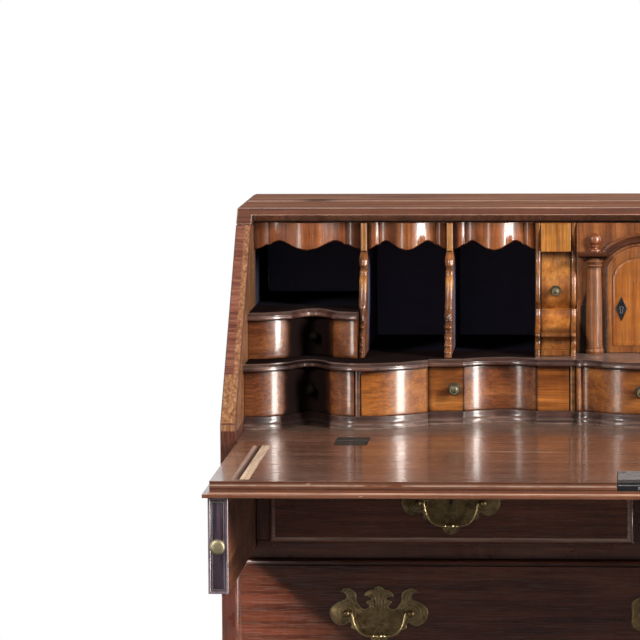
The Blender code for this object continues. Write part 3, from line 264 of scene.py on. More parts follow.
def own_place(made):
    """Object coordinates moved by a piece's own chance, so that no two pieces share their
    figure."""
    chance = made.add("ShaderNodeObjectInfo").outputs["Random"]
    reaches = (("X", 7.3), ("Y", 5.1), ("Z", 3.7))
    moved = {axis: made.times(chance, reach) for axis, reach in reaches}
    moved = made.add("ShaderNodeCombineXYZ", moved).outputs[0]
    return made.add("ShaderNodeVectorMath", {0: made.place, 1: moved}, operation="ADD").outputs[0]


def grown(made, grain, tones, golden, figure):
    """The figure of a wood: broad bands, growth lines, fibres and open pores along the grain, a
    faint ripple across it and patches of old polish. Gives its colour, its fibres and its pores."""
    stops = (0.26, 0.43, 0.57, 0.74)
    bands = made.noise(
        made.stretched(along(grain, 3.2, 62)), detail=6, roughness=0.62, distortion=0.4
    )
    color = made.ramp(bands, *zip(stops, tones))
    if golden is not None:
        color = made.mix(made.mark("golden"), color, made.ramp(bands, *zip(stops, golden)))
    contour = made.noise(made.stretched(along(grain, 0.9, 11)), detail=1, distortion=0.2)
    lines = made.sum("SINE", made.times(contour, 120))
    lines = made.ramp(lines, (0.0, 1.0), (0.55, 0.97), (0.95, 0.70))
    color = made.mix(0.5 * figure, color, lines, "MULTIPLY")
    fibres = made.noise(made.stretched(along(grain, 11, 420)), detail=4, roughness=0.65)
    shades = made.ramp(fibres, (0.30, 0.50), (0.50, 1.0), (0.70, 1.5))
    color = made.mix(0.8, color, shades, "MULTIPLY")
    pores = made.noise(made.stretched(along(grain, 38, 1300)), detail=2)
    pores = made.ramp(pores, (0.56, 0.0), (0.66, 1.0))
    color = made.mix(made.times(pores, 0.42), color, made.mix(0.8, color, 0.0))
    ripple = made.noise(made.stretched(along(grain, 120, 16)), detail=3)
    ripple = made.ramp(ripple, (0.3, 0.75), (0.7, 1.28))
    color = made.mix(0.5 * figure, color, ripple, "MULTIPLY")
    patches = made.noise(made.place, 7.0, detail=4, roughness=0.6)
    patches = made.ramp(patches, (0.28, 0.70), (0.5, 1.0), (0.75, 1.25))
    return made.mix(0.6, color, patches, "MULTIPLY"), fibres, pores


def in_pigeonhole_shade(made, spot, aside):
    """Where the pigeonholes take their painted shade: 1 on their walls behind their mouths, 0
    outside.
    """
    dark = made.between(spot["Y"], at(0.248), at(0.276))
    for value, low, high in (
        (aside, HALF_INSIDE + 0.0012, HALF_INSIDE + 0.0006),
        (spot["Y"], at(0.4560), at(0.4550)),
        (spot["Z"], LOWER_FLOOR, LOWER_FLOOR + 0.002),
        (spot["Z"], UNDERSIDE + 0.001, UNDERSIDE),
    ):
        dark = made.times(dark, made.between(value, low, high))
    return dark


def wood(
    name, grain, tones, polish=0.30, rough=0.30, figure=1.0, dirt=0.5, dust=0.0, waver=1.0,
    golden=None, hole_shade=None, scratched=0.0, cloudy=1.0, side=False, flat_top=False, corners=False,
):
    """Polished wood with its figure, dirt in streaks, and darkening where a piece marks it, partly
    dirt and partly painted shade in creases, hollows and under things; paler where a piece marks it
    as worn, partly wear on its arrises and partly a painted highlight. Cloudy is how much its shine
    varies, dust lies on level faces, the inside of the pigeonholes is painted a dark colour of its
    own as their painted shade, and the frame can take painted shadows beside the split columns."""
    made = Finish(name, Coat_Weight=polish, Coat_Roughness=0.08, IOR=1.5)
    spot = made.add("ShaderNodeSeparateXYZ", {0: made.place}).outputs
    aside = made.sum("ABSOLUTE", spot["X"])
    facing = made.add("ShaderNodeNewGeometry").outputs["Normal"]
    facing = made.add("ShaderNodeSeparateXYZ", {0: facing}).outputs
    upward = made.between(facing["Z"], 0.90, 0.98)
    made.place = own_place(made)
    color, fibres, pores = grown(made, grain, tones, golden, figure)
    streaks = made.stretched(along(grain, 7, 110), shift=(3, 1, 2))
    streaks = made.ramp(made.noise(streaks, detail=5, roughness=0.7), (0.52, 0.0), (0.70, 1.0))
    color = made.mix(made.times(streaks, 0.4 * dirt), color, STREAK_DIRT)
    if side:
        color = side_edge(made, spot, aside, facing["Y"], color)
    # A piece's mark darkens it: dirt, and painted shade in creases, hollows and under things.
    grime = made.mark("grime")
    color = made.mix(grime, color, BLACK_DIRT_AND_SHADE)
    # A piece's mark lightens it towards bare wood: wear, and on the thumbnail mouldings a painted
    # highlight.
    wear = made.times(made.mark("worn"), made.ramp(fibres, (0.35, 0.3), (0.6, 1.0)))
    color = made.mix(wear, color, made.mix(0.62, tones[3], BARE_WOOD))
    smudge = made.noise(made.place, 26.0, detail=5, roughness=0.65)
    smooth_part, dull_part = rough * (1 - 0.25 * cloudy), rough * (1 + 0.30 * cloudy)
    roughness = made.ramp(smudge, (0.30, smooth_part), (0.70, dull_part))
    roughness = made.raised(roughness, pores, 0.18)
    roughness = made.raised(roughness, grime, 0.25)
    if scratched:
        long = made.noise(made.stretched((2.5, 900, 900), turn=(0, 0, 0.03)), detail=1)
        broken = made.noise(made.place, 9.0, detail=3)
        mark = made.times(made.between(long, 0.735, 0.76), made.between(broken, 0.50, 0.60))
        nicks = made.noise(made.stretched((60, 240, 240), turn=(0, 0, 0.5)), detail=2)
        mark = made.sum("ADD", mark, made.between(nicks, 0.72, 0.76), clamp=True)
        color, roughness, mark = table_wear(made, spot, facing["Y"], color, roughness, mark)
        color = made.mix(made.times(mark, scratched), color, SCRATCH)
    matt = made.sum("MULTIPLY", grime, 1.15, clamp=True)
    # Painted shadows of the split columns on the frame.
    if corners:
        color = column_shadows(made, aside, spot["Z"], color)
    if flat_top:
        matt = made.most(matt, upward)
        roughness = made.most(roughness, made.times(upward, 0.75))
        color = faded_top(made, spot, aside, upward, facing["Y"], color)
        color = made.mix(grime, color, TOP_DIRT)
    if dust:
        settled = made.noise(made.place, 60.0, detail=6, roughness=0.7)
        settled = made.ramp(settled, (0.36, 0.25), (0.62, 1.0))
        layer = made.times(upward, dust, settled, made.sum("SUBTRACT", 1.0, grime))
        color = made.mix(layer, color, GREY_DUST)
        roughness = made.raised(roughness, layer, 0.5)
    # Painted shade: the inside of the pigeonholes turns to this dark colour.
    if hole_shade:
        dark = in_pigeonhole_shade(made, spot, aside)
        color = made.mix(dark, color, hole_shade)
        roughness = made.most(roughness, dark)
        matt = made.most(matt, dark)
    made.wire(
        Specular_IOR_Level=made.sum("MULTIPLY_ADD", matt, -0.5, 0.5),
        Coat_Weight=made.sum("MULTIPLY_ADD", matt, -polish, polish),
    )
    hollow = made.noise(made.stretched(along(grain, 12, 30)), detail=2)
    normal = made.bump(hollow, 0.0008 * waver, 0.5)
    grooves = made.sum("SUBTRACT", fibres, made.times(pores, 1.2))
    return made.finish(color, roughness, made.bump(grooves, 0.00007, 0.6, under=normal))


def faded_top(made, spot, aside, upward, facing, color):
    """The top: faded on its upper face, more so on the rear board; dark on its front edge, and
    painted light orange in the rebate for the fall, a painted light on that face where it lies in
    shade."""
    rear = made.between(spot["Y"], at(0.338), at(0.343))
    cloud = made.noise(made.stretched((6, 60, 60)), detail=5, roughness=0.65)
    cloud = made.ramp(cloud, (0.30, 0.55), (0.68, 1.35))
    share = made.times(upward, made.sum("MULTIPLY_ADD", rear, 0.10, 0.21), cloud)
    color = made.mix(share, color, (0.54, 0.34, 0.27))
    front = made.between(facing, -0.3, -0.6)
    color = made.mix(made.times(front, 0.54), color, (0.062, 0.015, 0.006))
    # The rebate's face lies in shade; the light orange painted on it stands in for light.
    mottled = made.ramp(made.noise(made.place, 150.0, detail=5), (0.35, 0.70), (0.6, 1.0))
    low = made.between(spot["Z"], 1.0112, 1.0100)
    inside = made.between(aside, HALF_INSIDE + 0.001, HALF_INSIDE)
    return made.mix(made.times(front, mottled, low, inside, 0.97), color, (0.98, 0.39, 0.19))


def table_wear(made, spot, facing, color, roughness, mark):
    """The writing surface: one long scratch, dirt gathered along the gallery and in the left
    corner, and a front edge in bands, dark under the arris and again lower down, with a rubbed line
    between."""

    def band(value, middle, half):
        """1 near the middle of a band and 0 from half its width away."""
        away = made.sum("ABSOLUTE", made.sum("SUBTRACT", value, middle))
        return made.between(away, half, 0.3 * half)

    edge = made.between(facing, -0.5, -0.8)
    flat = made.sum("SUBTRACT", 1.0, edge)
    slant = made.sum("MULTIPLY_ADD", spot["X"], 0.066, spot["Y"])
    worked = made.noise(made.stretched((45, 3, 3)), detail=4, roughness=0.7)
    long = made.times(
        band(slant, at(-0.0994), 0.0042), band(spot["X"], -0.158, 0.100), flat,
        made.between(worked, 0.38, 0.55),
    )
    broken = made.noise(made.stretched((7, 1, 1), shift=(2, 0, 0)), detail=4, roughness=0.7)
    rubbed = made.times(band(spot["Z"], 0.7553, 0.0013), made.between(broken, 0.42, 0.56), edge)
    mark = made.most(mark, made.most(long, rubbed))
    color = made.mix(made.times(edge, 0.50), color, (0.15, 0.043, 0.016))
    dark = made.most(band(spot["Z"], 0.7588, 0.0012), band(spot["Z"], 0.7512, 0.0016))
    color = made.mix(made.times(dark, edge, 0.62), color, (0.020, 0.009, 0.007))
    cloud = made.noise(made.place, 32.0, detail=6, roughness=0.7)
    cloud = made.ramp(cloud, (0.34, 0.25), (0.60, 1.0))
    left = made.between(spot["X"], -0.375, -0.455)
    corner = made.times(left, made.between(spot["Y"], at(-0.020), at(0.055)))
    soiled = made.most(made.times(corner, 0.8), made.between(spot["Y"], at(0.030), at(0.110)))
    soiled = made.times(soiled, flat, made.times(cloud, 0.75))
    roughness = made.raised(roughness, soiled, 0.25)
    return made.mix(soiled, color, (0.040, 0.034, 0.027)), roughness, mark


def column_shadows(made, aside, height, color):
    """Painted shadows beside the split columns: a cast shadow as a wedge that widens downwards
    outside each, and painted shade in a strip inside it."""
    raised = made.times(made.most(made.sum("SUBTRACT", height, 0.893), 0.0), 0.30)
    wedge = made.times(
        made.between(made.sum("ADD", aside, raised), 0.0772, 0.0744),
        made.between(height, 0.922, 0.908), made.between(aside, 0.058, 0.062),
    )
    strip = made.times(
        made.between(aside, 0.0370, 0.0440), made.between(aside, 0.0520, 0.0480),
        made.sum("MULTIPLY_ADD", made.between(height, 0.93, 0.87), 0.45, 0.55),
        made.between(height, 0.960, 0.935),
    )
    # Both painted shadows darken towards near black.
    dirt = made.most(made.times(wedge, 0.96), made.times(strip, 0.80))
    return made.mix(dirt, color, (0.016, 0.009, 0.007))


def side_edge(made, spot, aside, facing, color):
    """The slanted front edges of the sides: short stripes across them, a golden repair low down,
    and a lighter lining along their inner arris."""
    front = made.between(facing, -0.3, -0.5)
    high = made.between(spot["Z"], 0.8325, 0.8335)
    inner = made.between(aside, 0.4895, 0.4880)
    before = made.between(spot["Y"], at(0.30), at(0.27))
    stripes = made.noise(made.stretched((25, 25, 330)), detail=5, roughness=0.65)
    striped = made.ramp(
        stripes, (0.34, (0.070, 0.017, 0.011)), (0.48, (0.155, 0.050, 0.029)),
        (0.58, (0.215, 0.078, 0.047)), (0.70, (0.29, 0.13, 0.085)),
    )
    color = made.mix(made.times(front, high, 0.9), color, striped)
    fibres = made.noise(made.stretched((300, 300, 12)), detail=3)
    gold = made.ramp(
        fibres, (0.35, (0.13, 0.050, 0.020)), (0.55, (0.27, 0.125, 0.055)),
        (0.68, (0.40, 0.21, 0.105)),
    )
    color = made.mix(made.times(inner, high, before, 0.8), color, gold)
    low = made.between(spot["Z"], 0.7705, 0.7725)
    low = made.times(low, made.between(spot["Z"], 0.8335, 0.8325))
    repair = made.times(low, made.most(front, inner), before, 0.95)
    return made.mix(repair, color, gold)


def metal(name, bright, dull, rough, spots=0.5):
    """Old metal: bright where hands rub it, dull and spotted in its hollows, with fine
    scratches."""
    made = Finish(name, Metallic=1.0)
    cloud = made.noise(made.place, 90, detail=5, roughness=0.65)
    color = made.mix(made.ramp(cloud, (0.36, 0.0), (0.62, 1.0)), dull, bright)
    specks = made.noise(made.place, 630, detail=3)
    spot = made.sum("MULTIPLY", made.ramp(specks, (0.58, 0.0), (0.68, 1.0)), spots)
    color = made.mix(spot, color, tuple(0.3 * level for level in dull))
    # A piece's mark darkens the metal: patina in a knob's hollows, and painted shade on a knob in a
    # black hollow.
    grime = made.mark("grime")
    color = made.mix(made.sum("MULTIPLY", grime, 0.97), color, (0.007, 0.005, 0.004))
    roughness = made.ramp(cloud, (0.35, rough * 1.5), (0.65, rough * 0.8))
    roughness = made.raised(made.raised(roughness, spot, 0.3), grime, 0.3)
    scratch = made.noise(made.stretched((300, 900, 1500), turn=(0.3, 0.5, 0.2)), detail=2)
    normal = made.bump(made.sum("ADD", scratch, made.sum("MULTIPLY", cloud, 1.5)), 0.00008, 0.5)
    return made.finish(color, roughness, normal)


RED = ((0.042, 0.0105, 0.006), (0.074, 0.0185, 0.010), (0.107, 0.030, 0.015), (0.148, 0.045, 0.022))
BROWN = ((0.055, 0.015, 0.007), (0.110, 0.032, 0.013), (0.175, 0.056, 0.020), (0.250, 0.090, 0.032))
AMBER = ((0.140, 0.038, 0.007), (0.250, 0.076, 0.013), (0.345, 0.117, 0.021), (0.450, 0.178, 0.038))
RUSSET = (
    (0.090, 0.024, 0.009), (0.190, 0.052, 0.016), (0.300, 0.092, 0.026), (0.400, 0.145, 0.042),
)
GOLD = ((0.200, 0.065, 0.013), (0.330, 0.122, 0.022), (0.450, 0.190, 0.034), (0.580, 0.280, 0.060))
TABLE = ((0.075, 0.030, 0.018), (0.125, 0.052, 0.031), (0.175, 0.078, 0.047), (0.235, 0.112, 0.070))
RUBBED = (
    (0.100, 0.038, 0.020), (0.170, 0.070, 0.040), (0.250, 0.115, 0.070), (0.340, 0.180, 0.120),
)
PALE = ((0.170, 0.085, 0.055), (0.260, 0.145, 0.100), (0.360, 0.220, 0.160), (0.460, 0.310, 0.240))
UMBER = ((0.075, 0.022, 0.008), (0.140, 0.043, 0.014), (0.215, 0.072, 0.022), (0.310, 0.120, 0.036))
# Dark colour painted inside the pigeonholes as their shade
PIGEONHOLE_SHADE = (0.034, 0.032, 0.048)
DUSKY = ((0.028, 0.012, 0.010), (0.068, 0.029, 0.022), (0.125, 0.057, 0.041), (0.210, 0.108, 0.080))
PLUM = ((0.014, 0.008, 0.014), (0.026, 0.014, 0.024), (0.042, 0.024, 0.040), (0.070, 0.046, 0.066))
LILAC = ((0.070, 0.048, 0.064), (0.110, 0.078, 0.100), (0.160, 0.118, 0.148), (0.220, 0.170, 0.205))
OAK = ((0.120, 0.062, 0.028), (0.200, 0.112, 0.052), (0.290, 0.175, 0.085), (0.380, 0.250, 0.130))
CREAM = ((0.38, 0.24, 0.15), (0.47, 0.32, 0.21), (0.57, 0.41, 0.29), (0.66, 0.51, 0.38))

CARCASE_ACROSS = wood("carcase_across", "X", RED)
CARCASE_UPRIGHT = wood("carcase_upright", "Z", RED)
CARCASE_DEEP = wood("carcase_deep", "Y", BROWN, polish=0.20, rough=0.36)
SIDE_WOOD = wood("side_wood", "Z", RED, side=True, hole_shade=(0.026, 0.025, 0.037))
DRAWER_WOOD = wood(
    "drawer_wood", "X", RED, polish=0.40, rough=0.24, dirt=0.1, figure=0.5, cloudy=0.3
)
TOP_WOOD = wood(
    "top_wood", "X", BROWN, polish=0.25, rough=0.34, dirt=0.9, hole_shade=PIGEONHOLE_SHADE, flat_top=True
)
TABLE_WOOD = wood(
    "table_wood", "X", TABLE, polish=0.45, rough=0.25, figure=0.8, dirt=0.5, waver=0.0,
    scratched=0.7, cloudy=0.4,
)
INSIDE_WOOD = wood(
    "inside_wood", "X", BROWN, polish=0.50, rough=0.19, golden=AMBER,
    waver=0.4, figure=0.6, dirt=0.3,
)
VALANCE_WOOD = wood(
    "valance_wood", "Z", RUSSET, polish=0.48, rough=0.26, golden=AMBER, dirt=0.3, waver=0.4
)
INSIDE_UPRIGHT = wood(
    "inside_upright", "Z", BROWN, polish=0.35, rough=0.27, golden=GOLD, hole_shade=PIGEONHOLE_SHADE
)
INSIDE_DEEP = wood(
    "inside_deep", "Y", BROWN, polish=0.10, rough=0.45, dirt=1.0,
    hole_shade=(0.085, 0.080, 0.125),
)
SHELF_WOOD = wood(
    "shelf_wood", "X", DUSKY, polish=0.62, rough=0.23, dirt=0.8, dust=0.60, golden=GOLD, waver=0.6,
    hole_shade=(0.010, 0.0095, 0.014),
)
PANEL_WOOD = wood(
    "panel_wood", "Z", AMBER, polish=0.35, rough=0.27, figure=0.8, dirt=0.35, hole_shade=PIGEONHOLE_SHADE,
    golden=GOLD, waver=0.4,
)
# The frame takes painted shadows beside its split columns.
FRAME_WOOD = wood(
    "frame_wood", "Z", UMBER, polish=0.35, rough=0.27, dirt=0.5, hole_shade=PIGEONHOLE_SHADE,
    golden=AMBER, waver=0.4, corners=True,
)
COLUMN_WOOD = wood("column_wood", "Z", BROWN, polish=0.08, rough=0.42, golden=AMBER, waver=0.4)
LOPER_WOOD = wood("loper_wood", "Z", PLUM, polish=0.50, rough=0.26, figure=0.6, dirt=0.2)
LOPER_EDGE = wood("loper_edge", "Z", LILAC, polish=0.40, rough=0.30, figure=0.6, dirt=0.2)
LINING_WOOD = wood("lining_wood", "Y", OAK, polish=0.0, rough=0.60, figure=1.0, dirt=0.5)
BACK_WOOD = wood(
    "back_wood", "X", OAK, polish=0.0, rough=0.62, figure=0.5, dirt=1.0, hole_shade=(0.29, 0.28, 0.42),
)
ARRIS_RED = wood("arris_red", "X", RED, polish=0.30, rough=0.34, dirt=0.2)
# Paler wood on the top's rounded front arris: partly wear, partly a painted highlight along that
# edge.
ARRIS_TOP_LIT = wood("arris_top_lit", "X", PALE, polish=0.25, rough=0.38, dirt=0.3)
ARRIS_TABLE = wood("arris_table", "X", RUBBED, polish=0.3, rough=0.34)
ARRIS_GOLD = wood("arris_gold", "X", AMBER, polish=0.45, rough=0.26, dirt=0.2)
SLIP_WOOD = wood("slip_wood", "Y", CREAM, polish=0.10, rough=0.46, dirt=0.15)
# Near black, painted shade for the inside of keyholes
KEYHOLE_SHADE = wood("hole", "Z", ((0.004, 0.003, 0.003),) * 4, polish=0.0, rough=0.8)
BRASS = metal("old_brass", (0.27, 0.190, 0.092), (0.085, 0.058, 0.028), 0.42)
DULL_BRASS = metal("dull_brass", (0.42, 0.365, 0.24), (0.20, 0.17, 0.105), 0.44)
KNOB_BRASS = metal("knob_brass", (0.17, 0.148, 0.098), (0.070, 0.060, 0.040), 0.50)
BRIGHT_BRASS = metal("rubbed_brass", (0.66, 0.52, 0.27), (0.30, 0.22, 0.10), 0.28, spots=0.25)
IRON = metal("dark_iron", (0.090, 0.076, 0.070), (0.030, 0.025, 0.023), 0.42, spots=0.8)
WORN_IRON = metal("worn_iron", (0.24, 0.225, 0.225), (0.115, 0.105, 0.105), 0.58, spots=0.7)
LOCK_STEEL = metal("lock_steel", (0.060, 0.063, 0.072), (0.020, 0.021, 0.025), 0.40, spots=0.6)
SILVER = metal("silver_string", (0.55, 0.52, 0.52), (0.28, 0.25, 0.26), 0.34, spots=0.3)


# Surfaces


def patch(points, wrap_rows=False, wrap_columns=False, ends=False, **marks):
    """A surface over a grid of points: its corners, its squares (r, c), (r, c + 1), (r + 1, c + 1),
    (r + 1, c), with ends a face over the first and last row, and its marks of wear and dirt."""
    rows, columns = points.shape[:2]
    row = np.arange(rows if wrap_rows else rows - 1)
    column = np.arange(columns if wrap_columns else columns - 1)
    row, column = (index.ravel() for index in np.meshgrid(row, column, indexing="ij"))
    below, beside = (row + 1) % rows, (column + 1) % columns
    squares = np.stack(
        [row * columns + column, row * columns + beside, below * columns + beside,
         below * columns + column],
        axis=1,
    )
    faces = [squares]
    if ends:
        faces.append(np.stack([np.arange(columns), np.arange(columns) + (rows - 1) * columns]))
    marks = {name: np.broadcast_to(mark, (rows, columns)).ravel() for name, mark in marks.items()}
    return points.reshape(-1, 3), faces, marks


def solid(x, y, z, **marks):
    """A closed shape from the coordinates of its rings: rows of points, with a face over the first
    row and one over the last."""
    points = np.stack(np.broadcast_arrays(x, y, z), axis=-1)
    return patch(points, wrap_columns=True, ends=True, **marks)


def prism(outline, plane, near, far, steps=2, **marks):
    """A board of this outline in plan, side or front view, carried from near to far across that
    view."""
    places = [None] * 3
    first, second, third = {"plan": (0, 1, 2), "side": (1, 2, 0), "front": (0, 2, 1)}[plane]
    places[first], places[second] = np.asarray(outline, float).T
    places[third] = np.linspace(near, far, steps)[:, None]
    return solid(*places, **marks)


def board(xs, ys, zs):
    """A plain board between pairs of coordinates."""
    outline = [(xs[0], ys[0]), (xs[1], ys[0]), (xs[1], ys[1]), (xs[0], ys[1])]
    return prism(outline, "plan", *zs)


def bell(value, middle, width, power=2):
    """1 at the middle and 0 away from it: e^-((value - middle) / width)^power."""
    return np.exp(-(((value - middle) / width) ** power))


def smooth(points, steps=6):
    """A curve through the points: on each span the cubic that leaves and meets a point with half
    the step between that point's neighbours."""
    points = np.asarray(points, float)
    padded = np.vstack([2 * points[0] - points[1], points, 2 * points[-1] - points[-2]])
    before, start, end, after = padded[:-3], padded[1:-2], padded[2:-1], padded[3:]
    t = np.linspace(0, 1, steps, endpoint=False)[:, None, None]
    bend = 2 * before - 5 * start + 4 * end - after
    twist = 3 * start - before - 3 * end + after
    curve = start + 0.5 * t * (end - before + t * (bend + t * twist))
    return np.vstack([curve.transpose(1, 0, 2).reshape(-1, points.shape[1]), points[-1:]])


def unit(vectors):
    """The same directions at a length of 1."""
    return vectors / np.linalg.norm(vectors, axis=-1, keepdims=True)


def turned(profile, centre, axis=TOWARDS_FRONT, steps=36, start=0.0, sweep=2 * math.pi, **marks):
    """A lathe shape: a point of the profile at radius r and height h goes to
    centre + h axis + r (cos a across + sin a aside), for angles a over the sweep."""
    profile = np.asarray(profile, float)
    axis = unit(np.asarray(axis, float))
    across = unit(np.cross(axis, UPWARDS if abs(axis[2]) < 0.9 else TOWARDS_FRONT))
    aside = np.cross(axis, across)
    full = sweep > 6.28
    angle = start + sweep * np.arange(steps) / (steps if full else steps - 1)
    around = np.cos(angle)[:, None] * across + np.sin(angle)[:, None] * aside
    points = np.asarray(centre) + profile[:, None, 1:] * axis + profile[:, None, :1] * around[None]
    return patch(points, wrap_columns=True, **marks)


def sideways(path, up, closed=False):
    """Direction to one side of a path at each point, (a + b) / (1 + a.b) for the side directions a
    and b of the steps before and after it, so that a section keeps its width through a mitre."""
    steps = np.diff(np.vstack([path, path[:1]]) if closed else path, axis=0)
    sides = unit(np.cross(up, steps))
    before = np.roll(sides, 1, axis=0) if closed else np.vstack([sides[:1], sides])
    after = sides if closed else np.vstack([sides, sides[-1:]])
    return (before + after) / (1 + np.sum(before * after, axis=1))[:, None]


def carried(section, path, up=TOWARDS_FRONT, closed=False, **marks):
    """A closed section carried along a path: its first measure goes sideways, its second along
    up."""
    section, path, up = (np.asarray(value, float) for value in (section, path, up))
    side = sideways(path, up, closed)
    points = path[:, None] + section[..., :1] * side[:, None] + section[..., 1:] * up
    return patch(points, wrap_rows=closed, wrap_columns=True, ends=not closed, **marks)


def round_section(radius, steps=10):
    """A circle of this radius."""
    angle = np.linspace(0, 2 * math.pi, steps, endpoint=False)
    return radius * np.stack([np.cos(angle), np.sin(angle)], axis=1)


def upright(outline, y):
    """An outline in front view, stood up at this world Y."""
    return np.stack([outline[:, 0], np.full(len(outline), y), outline[:, 1]], axis=1)


def bead(outline, y, radius, closed=True):
    """A thin round bead along an outline in front view."""
    return carried(round_section(radius, 6), upright(outline, y), closed=closed)


def framed(xs, zs, profile, **marks):
    """A rectangle whose four edges have one moulding, mitred at its corners: each point of the
    profile gives the rectangle drawn in by its first measure, at the depth of its second."""
    inset, depth = np.asarray(profile, float).T
    x = np.stack([xs[0] + inset, xs[1] - inset, xs[1] - inset, xs[0] + inset], axis=1)
    z = np.stack([zs[0] + inset, zs[0] + inset, zs[1] - inset, zs[1] - inset], axis=1)
    return solid(x, depth[:, None], z, **marks)


def shape_of(name, patches):
    """One mesh of several patches, with its doubled points merged and its faces turned outwards."""
    starts = np.cumsum([0] + [len(points) for points, _, _ in patches])
    points = np.vstack([points for points, _, _ in patches])
    groups = [group + start for (_, faces, _), start in zip(patches, starts) for group in faces]
    sizes = np.concatenate([np.full(len(group), group.shape[1]) for group in groups])
    corners = np.concatenate([group.ravel() for group in groups])
    mesh = bpy.data.meshes.new(name)
    mesh.vertices.add(len(points))
    mesh.vertices.foreach_set("co", points.ravel())
    mesh.loops.add(len(corners))
    mesh.loops.foreach_set("vertex_index", corners.astype(np.int32))
    mesh.polygons.add(len(sizes))
    mesh.polygons.foreach_set("loop_start", (np.cumsum(sizes) - sizes).astype(np.int32))
    mesh.update(calc_edges=True)
    for mark in sorted({mark for _, _, marks in patches for mark in marks}):
        values = [marks.get(mark, np.zeros(len(points))) for points, _, marks in patches]
        target = mesh.attributes.new(mark, "FLOAT", "POINT").data
        target.foreach_set("value", np.concatenate(values))
    tidy(mesh)
    return mesh


def tidy(mesh, merge=2e-6, flat=None):
    """Merges doubled points, joins flat neighbours where asked, and turns every face outwards."""
    shape = bmesh.new()
    shape.from_mesh(mesh)
    bmesh.ops.remove_doubles(shape, verts=shape.verts, dist=merge)
    if flat is not None:
        bmesh.ops.dissolve_limit(shape, angle_limit=flat, verts=shape.verts, edges=shape.edges)
    bmesh.ops.recalc_face_normals(shape, faces=shape.faces)
    shape.to_mesh(mesh)
    shape.free()


# A beveled piece's faces above this area, in square metres, are flat boards and are shaded flat
BROAD_FACE = 4e-4


def dressed(name, mesh, finish, body, stands_for=(), slot=None, ease=0.0, arris=None, crease=38):
    """The object for a mesh: its finish, its worn arrises, its body and the solids that it stands
    for."""
    obj = bpy.data.objects.new(name, mesh)
    bpy.context.scene.collection.objects.link(obj)
    mesh.materials.clear()
    mesh.materials.append(finish)
    areas = np.empty(len(mesh.polygons))
    mesh.polygons.foreach_get("area", areas)
    mesh.set_sharp_from_angle(angle=math.radians(crease))
    mesh.polygons.foreach_set("use_smooth", areas < (BROAD_FACE if ease else 1.0))
    if ease:
        bevel = obj.modifiers.new("eased", "BEVEL")
        bevel.width = ease
        bevel.segments = 2
        bevel.limit_method = "ANGLE"
        bevel.angle_limit = math.radians(crease)
        if arris is not None:
            mesh.materials.append(arris)
            bevel.material = 1
    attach(obj, body)
    if stands_for:
        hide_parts(*stands_for)
    return obj


def piece(name, patches, finish, body="carcase", **details):
    """A new piece from its patches."""
    return dressed(name, shape_of(name, patches), finish, body, **details)


def eased(node, finish, slot, ease=0.0008, arris=None):
    """A solid's own shape with its arrises rubbed round."""
    mesh = frame["nodes"][node].data.copy()
    tidy(mesh, merge=1e-5, flat=math.radians(0.5))
    body = frame["nodes"][node]["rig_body"]
    return dressed(node + "_wood", mesh, finish, body, (node,), slot, ease, arris)


# Carcase


def carcase():
    """Sides, top, bed, rails and partitions, with the plain boards' arrises rubbed round."""
    for word, _ in SIDES:
        eased("side_" + word, SIDE_WOOD, "carcase", 0.0012, ARRIS_RED)
        eased("loper_partition_" + word, CARCASE_UPRIGHT, "carcase")
    top_boards()
    eased("writing_bed", TABLE_WOOD, "carcase", 0.0006)
    eased("bottom_board", CARCASE_ACROSS, "carcase")
    eased("top_divider", CARCASE_UPRIGHT, "carcase")
    for word in ("upper", "middle", "lower"):
        eased("rail_" + word, CARCASE_ACROSS, "carcase", 0.0008, ARRIS_RED)


# Stains on the rear board: how dark, place across, width, place behind the front, depth
STAINS = (
    (0.90, -0.408, 0.019, 0.353, 0.013), (0.35, -0.300, 0.050, 0.400, 0.020),
    (0.50, 0.220, 0.012, 0.348, 0.008),
)
BOARD_STEP = 0.0010  # how far the rear board stands above the front one


def top_boards():
    """The top: its front part with the rebate for the fall, and behind it a board that stands a
    little higher and stops short of the ends, chipped and stained along its front arris, and pale
    along it, partly wear and partly a painted highlight."""
    lower = eased("top_board", TOP_WOOD, "carcase", 0.0012, ARRIS_TOP_LIT)
    corners = np.empty(3 * len(lower.data.vertices))
    lower.data.vertices.foreach_get("co", corners)
    corners = corners.reshape(-1, 3)
    corners[corners[:, 2] > TOP_HEIGHT - 1e-5, 2] -= BOARD_STEP
    lower.data.vertices.foreach_set("co", corners.ravel())
    across = np.linspace(-0.4966, 0.4966, 221)
    front, back = [0.3405, 0.3405, 0.3407, 0.3413], [0.4625, 0.4625]
    depth = np.concatenate([front, np.linspace(0.3440, 0.4600, 18), back])
    rise = np.array([-0.0015, -0.0006, -0.0001, *np.zeros(19), -0.0003, -0.0015])
    place, depth = np.meshgrid(across, depth, indexing="ij")
    stain = sum(
        dark * np.exp(-((place - middle) / wide) ** 2 - ((depth - behind) / deep) ** 2)
        for dark, middle, wide, behind, deep in STAINS
    )
    joint = 0.35 * bell(depth, 0.357, 0.006)
    # Pale along the front arris, partly wear and partly a painted highlight.
    worn = 0.9 * bell(depth, 0.3400, 0.008) * (1 - stain.clip(0, 1))
    grime = np.clip(stain + joint, 0, 0.9)
    plank = solid(place, at(depth), TOP_HEIGHT + rise, grime=grime, worn=worn)
    piece("top_rear_board", [plank], TOP_WOOD, slot="carcase", crease=40)


BACK_SUNK = 0.0008  # back boards and nails stay inside the solids
NAILS_SUNK = 0.0013


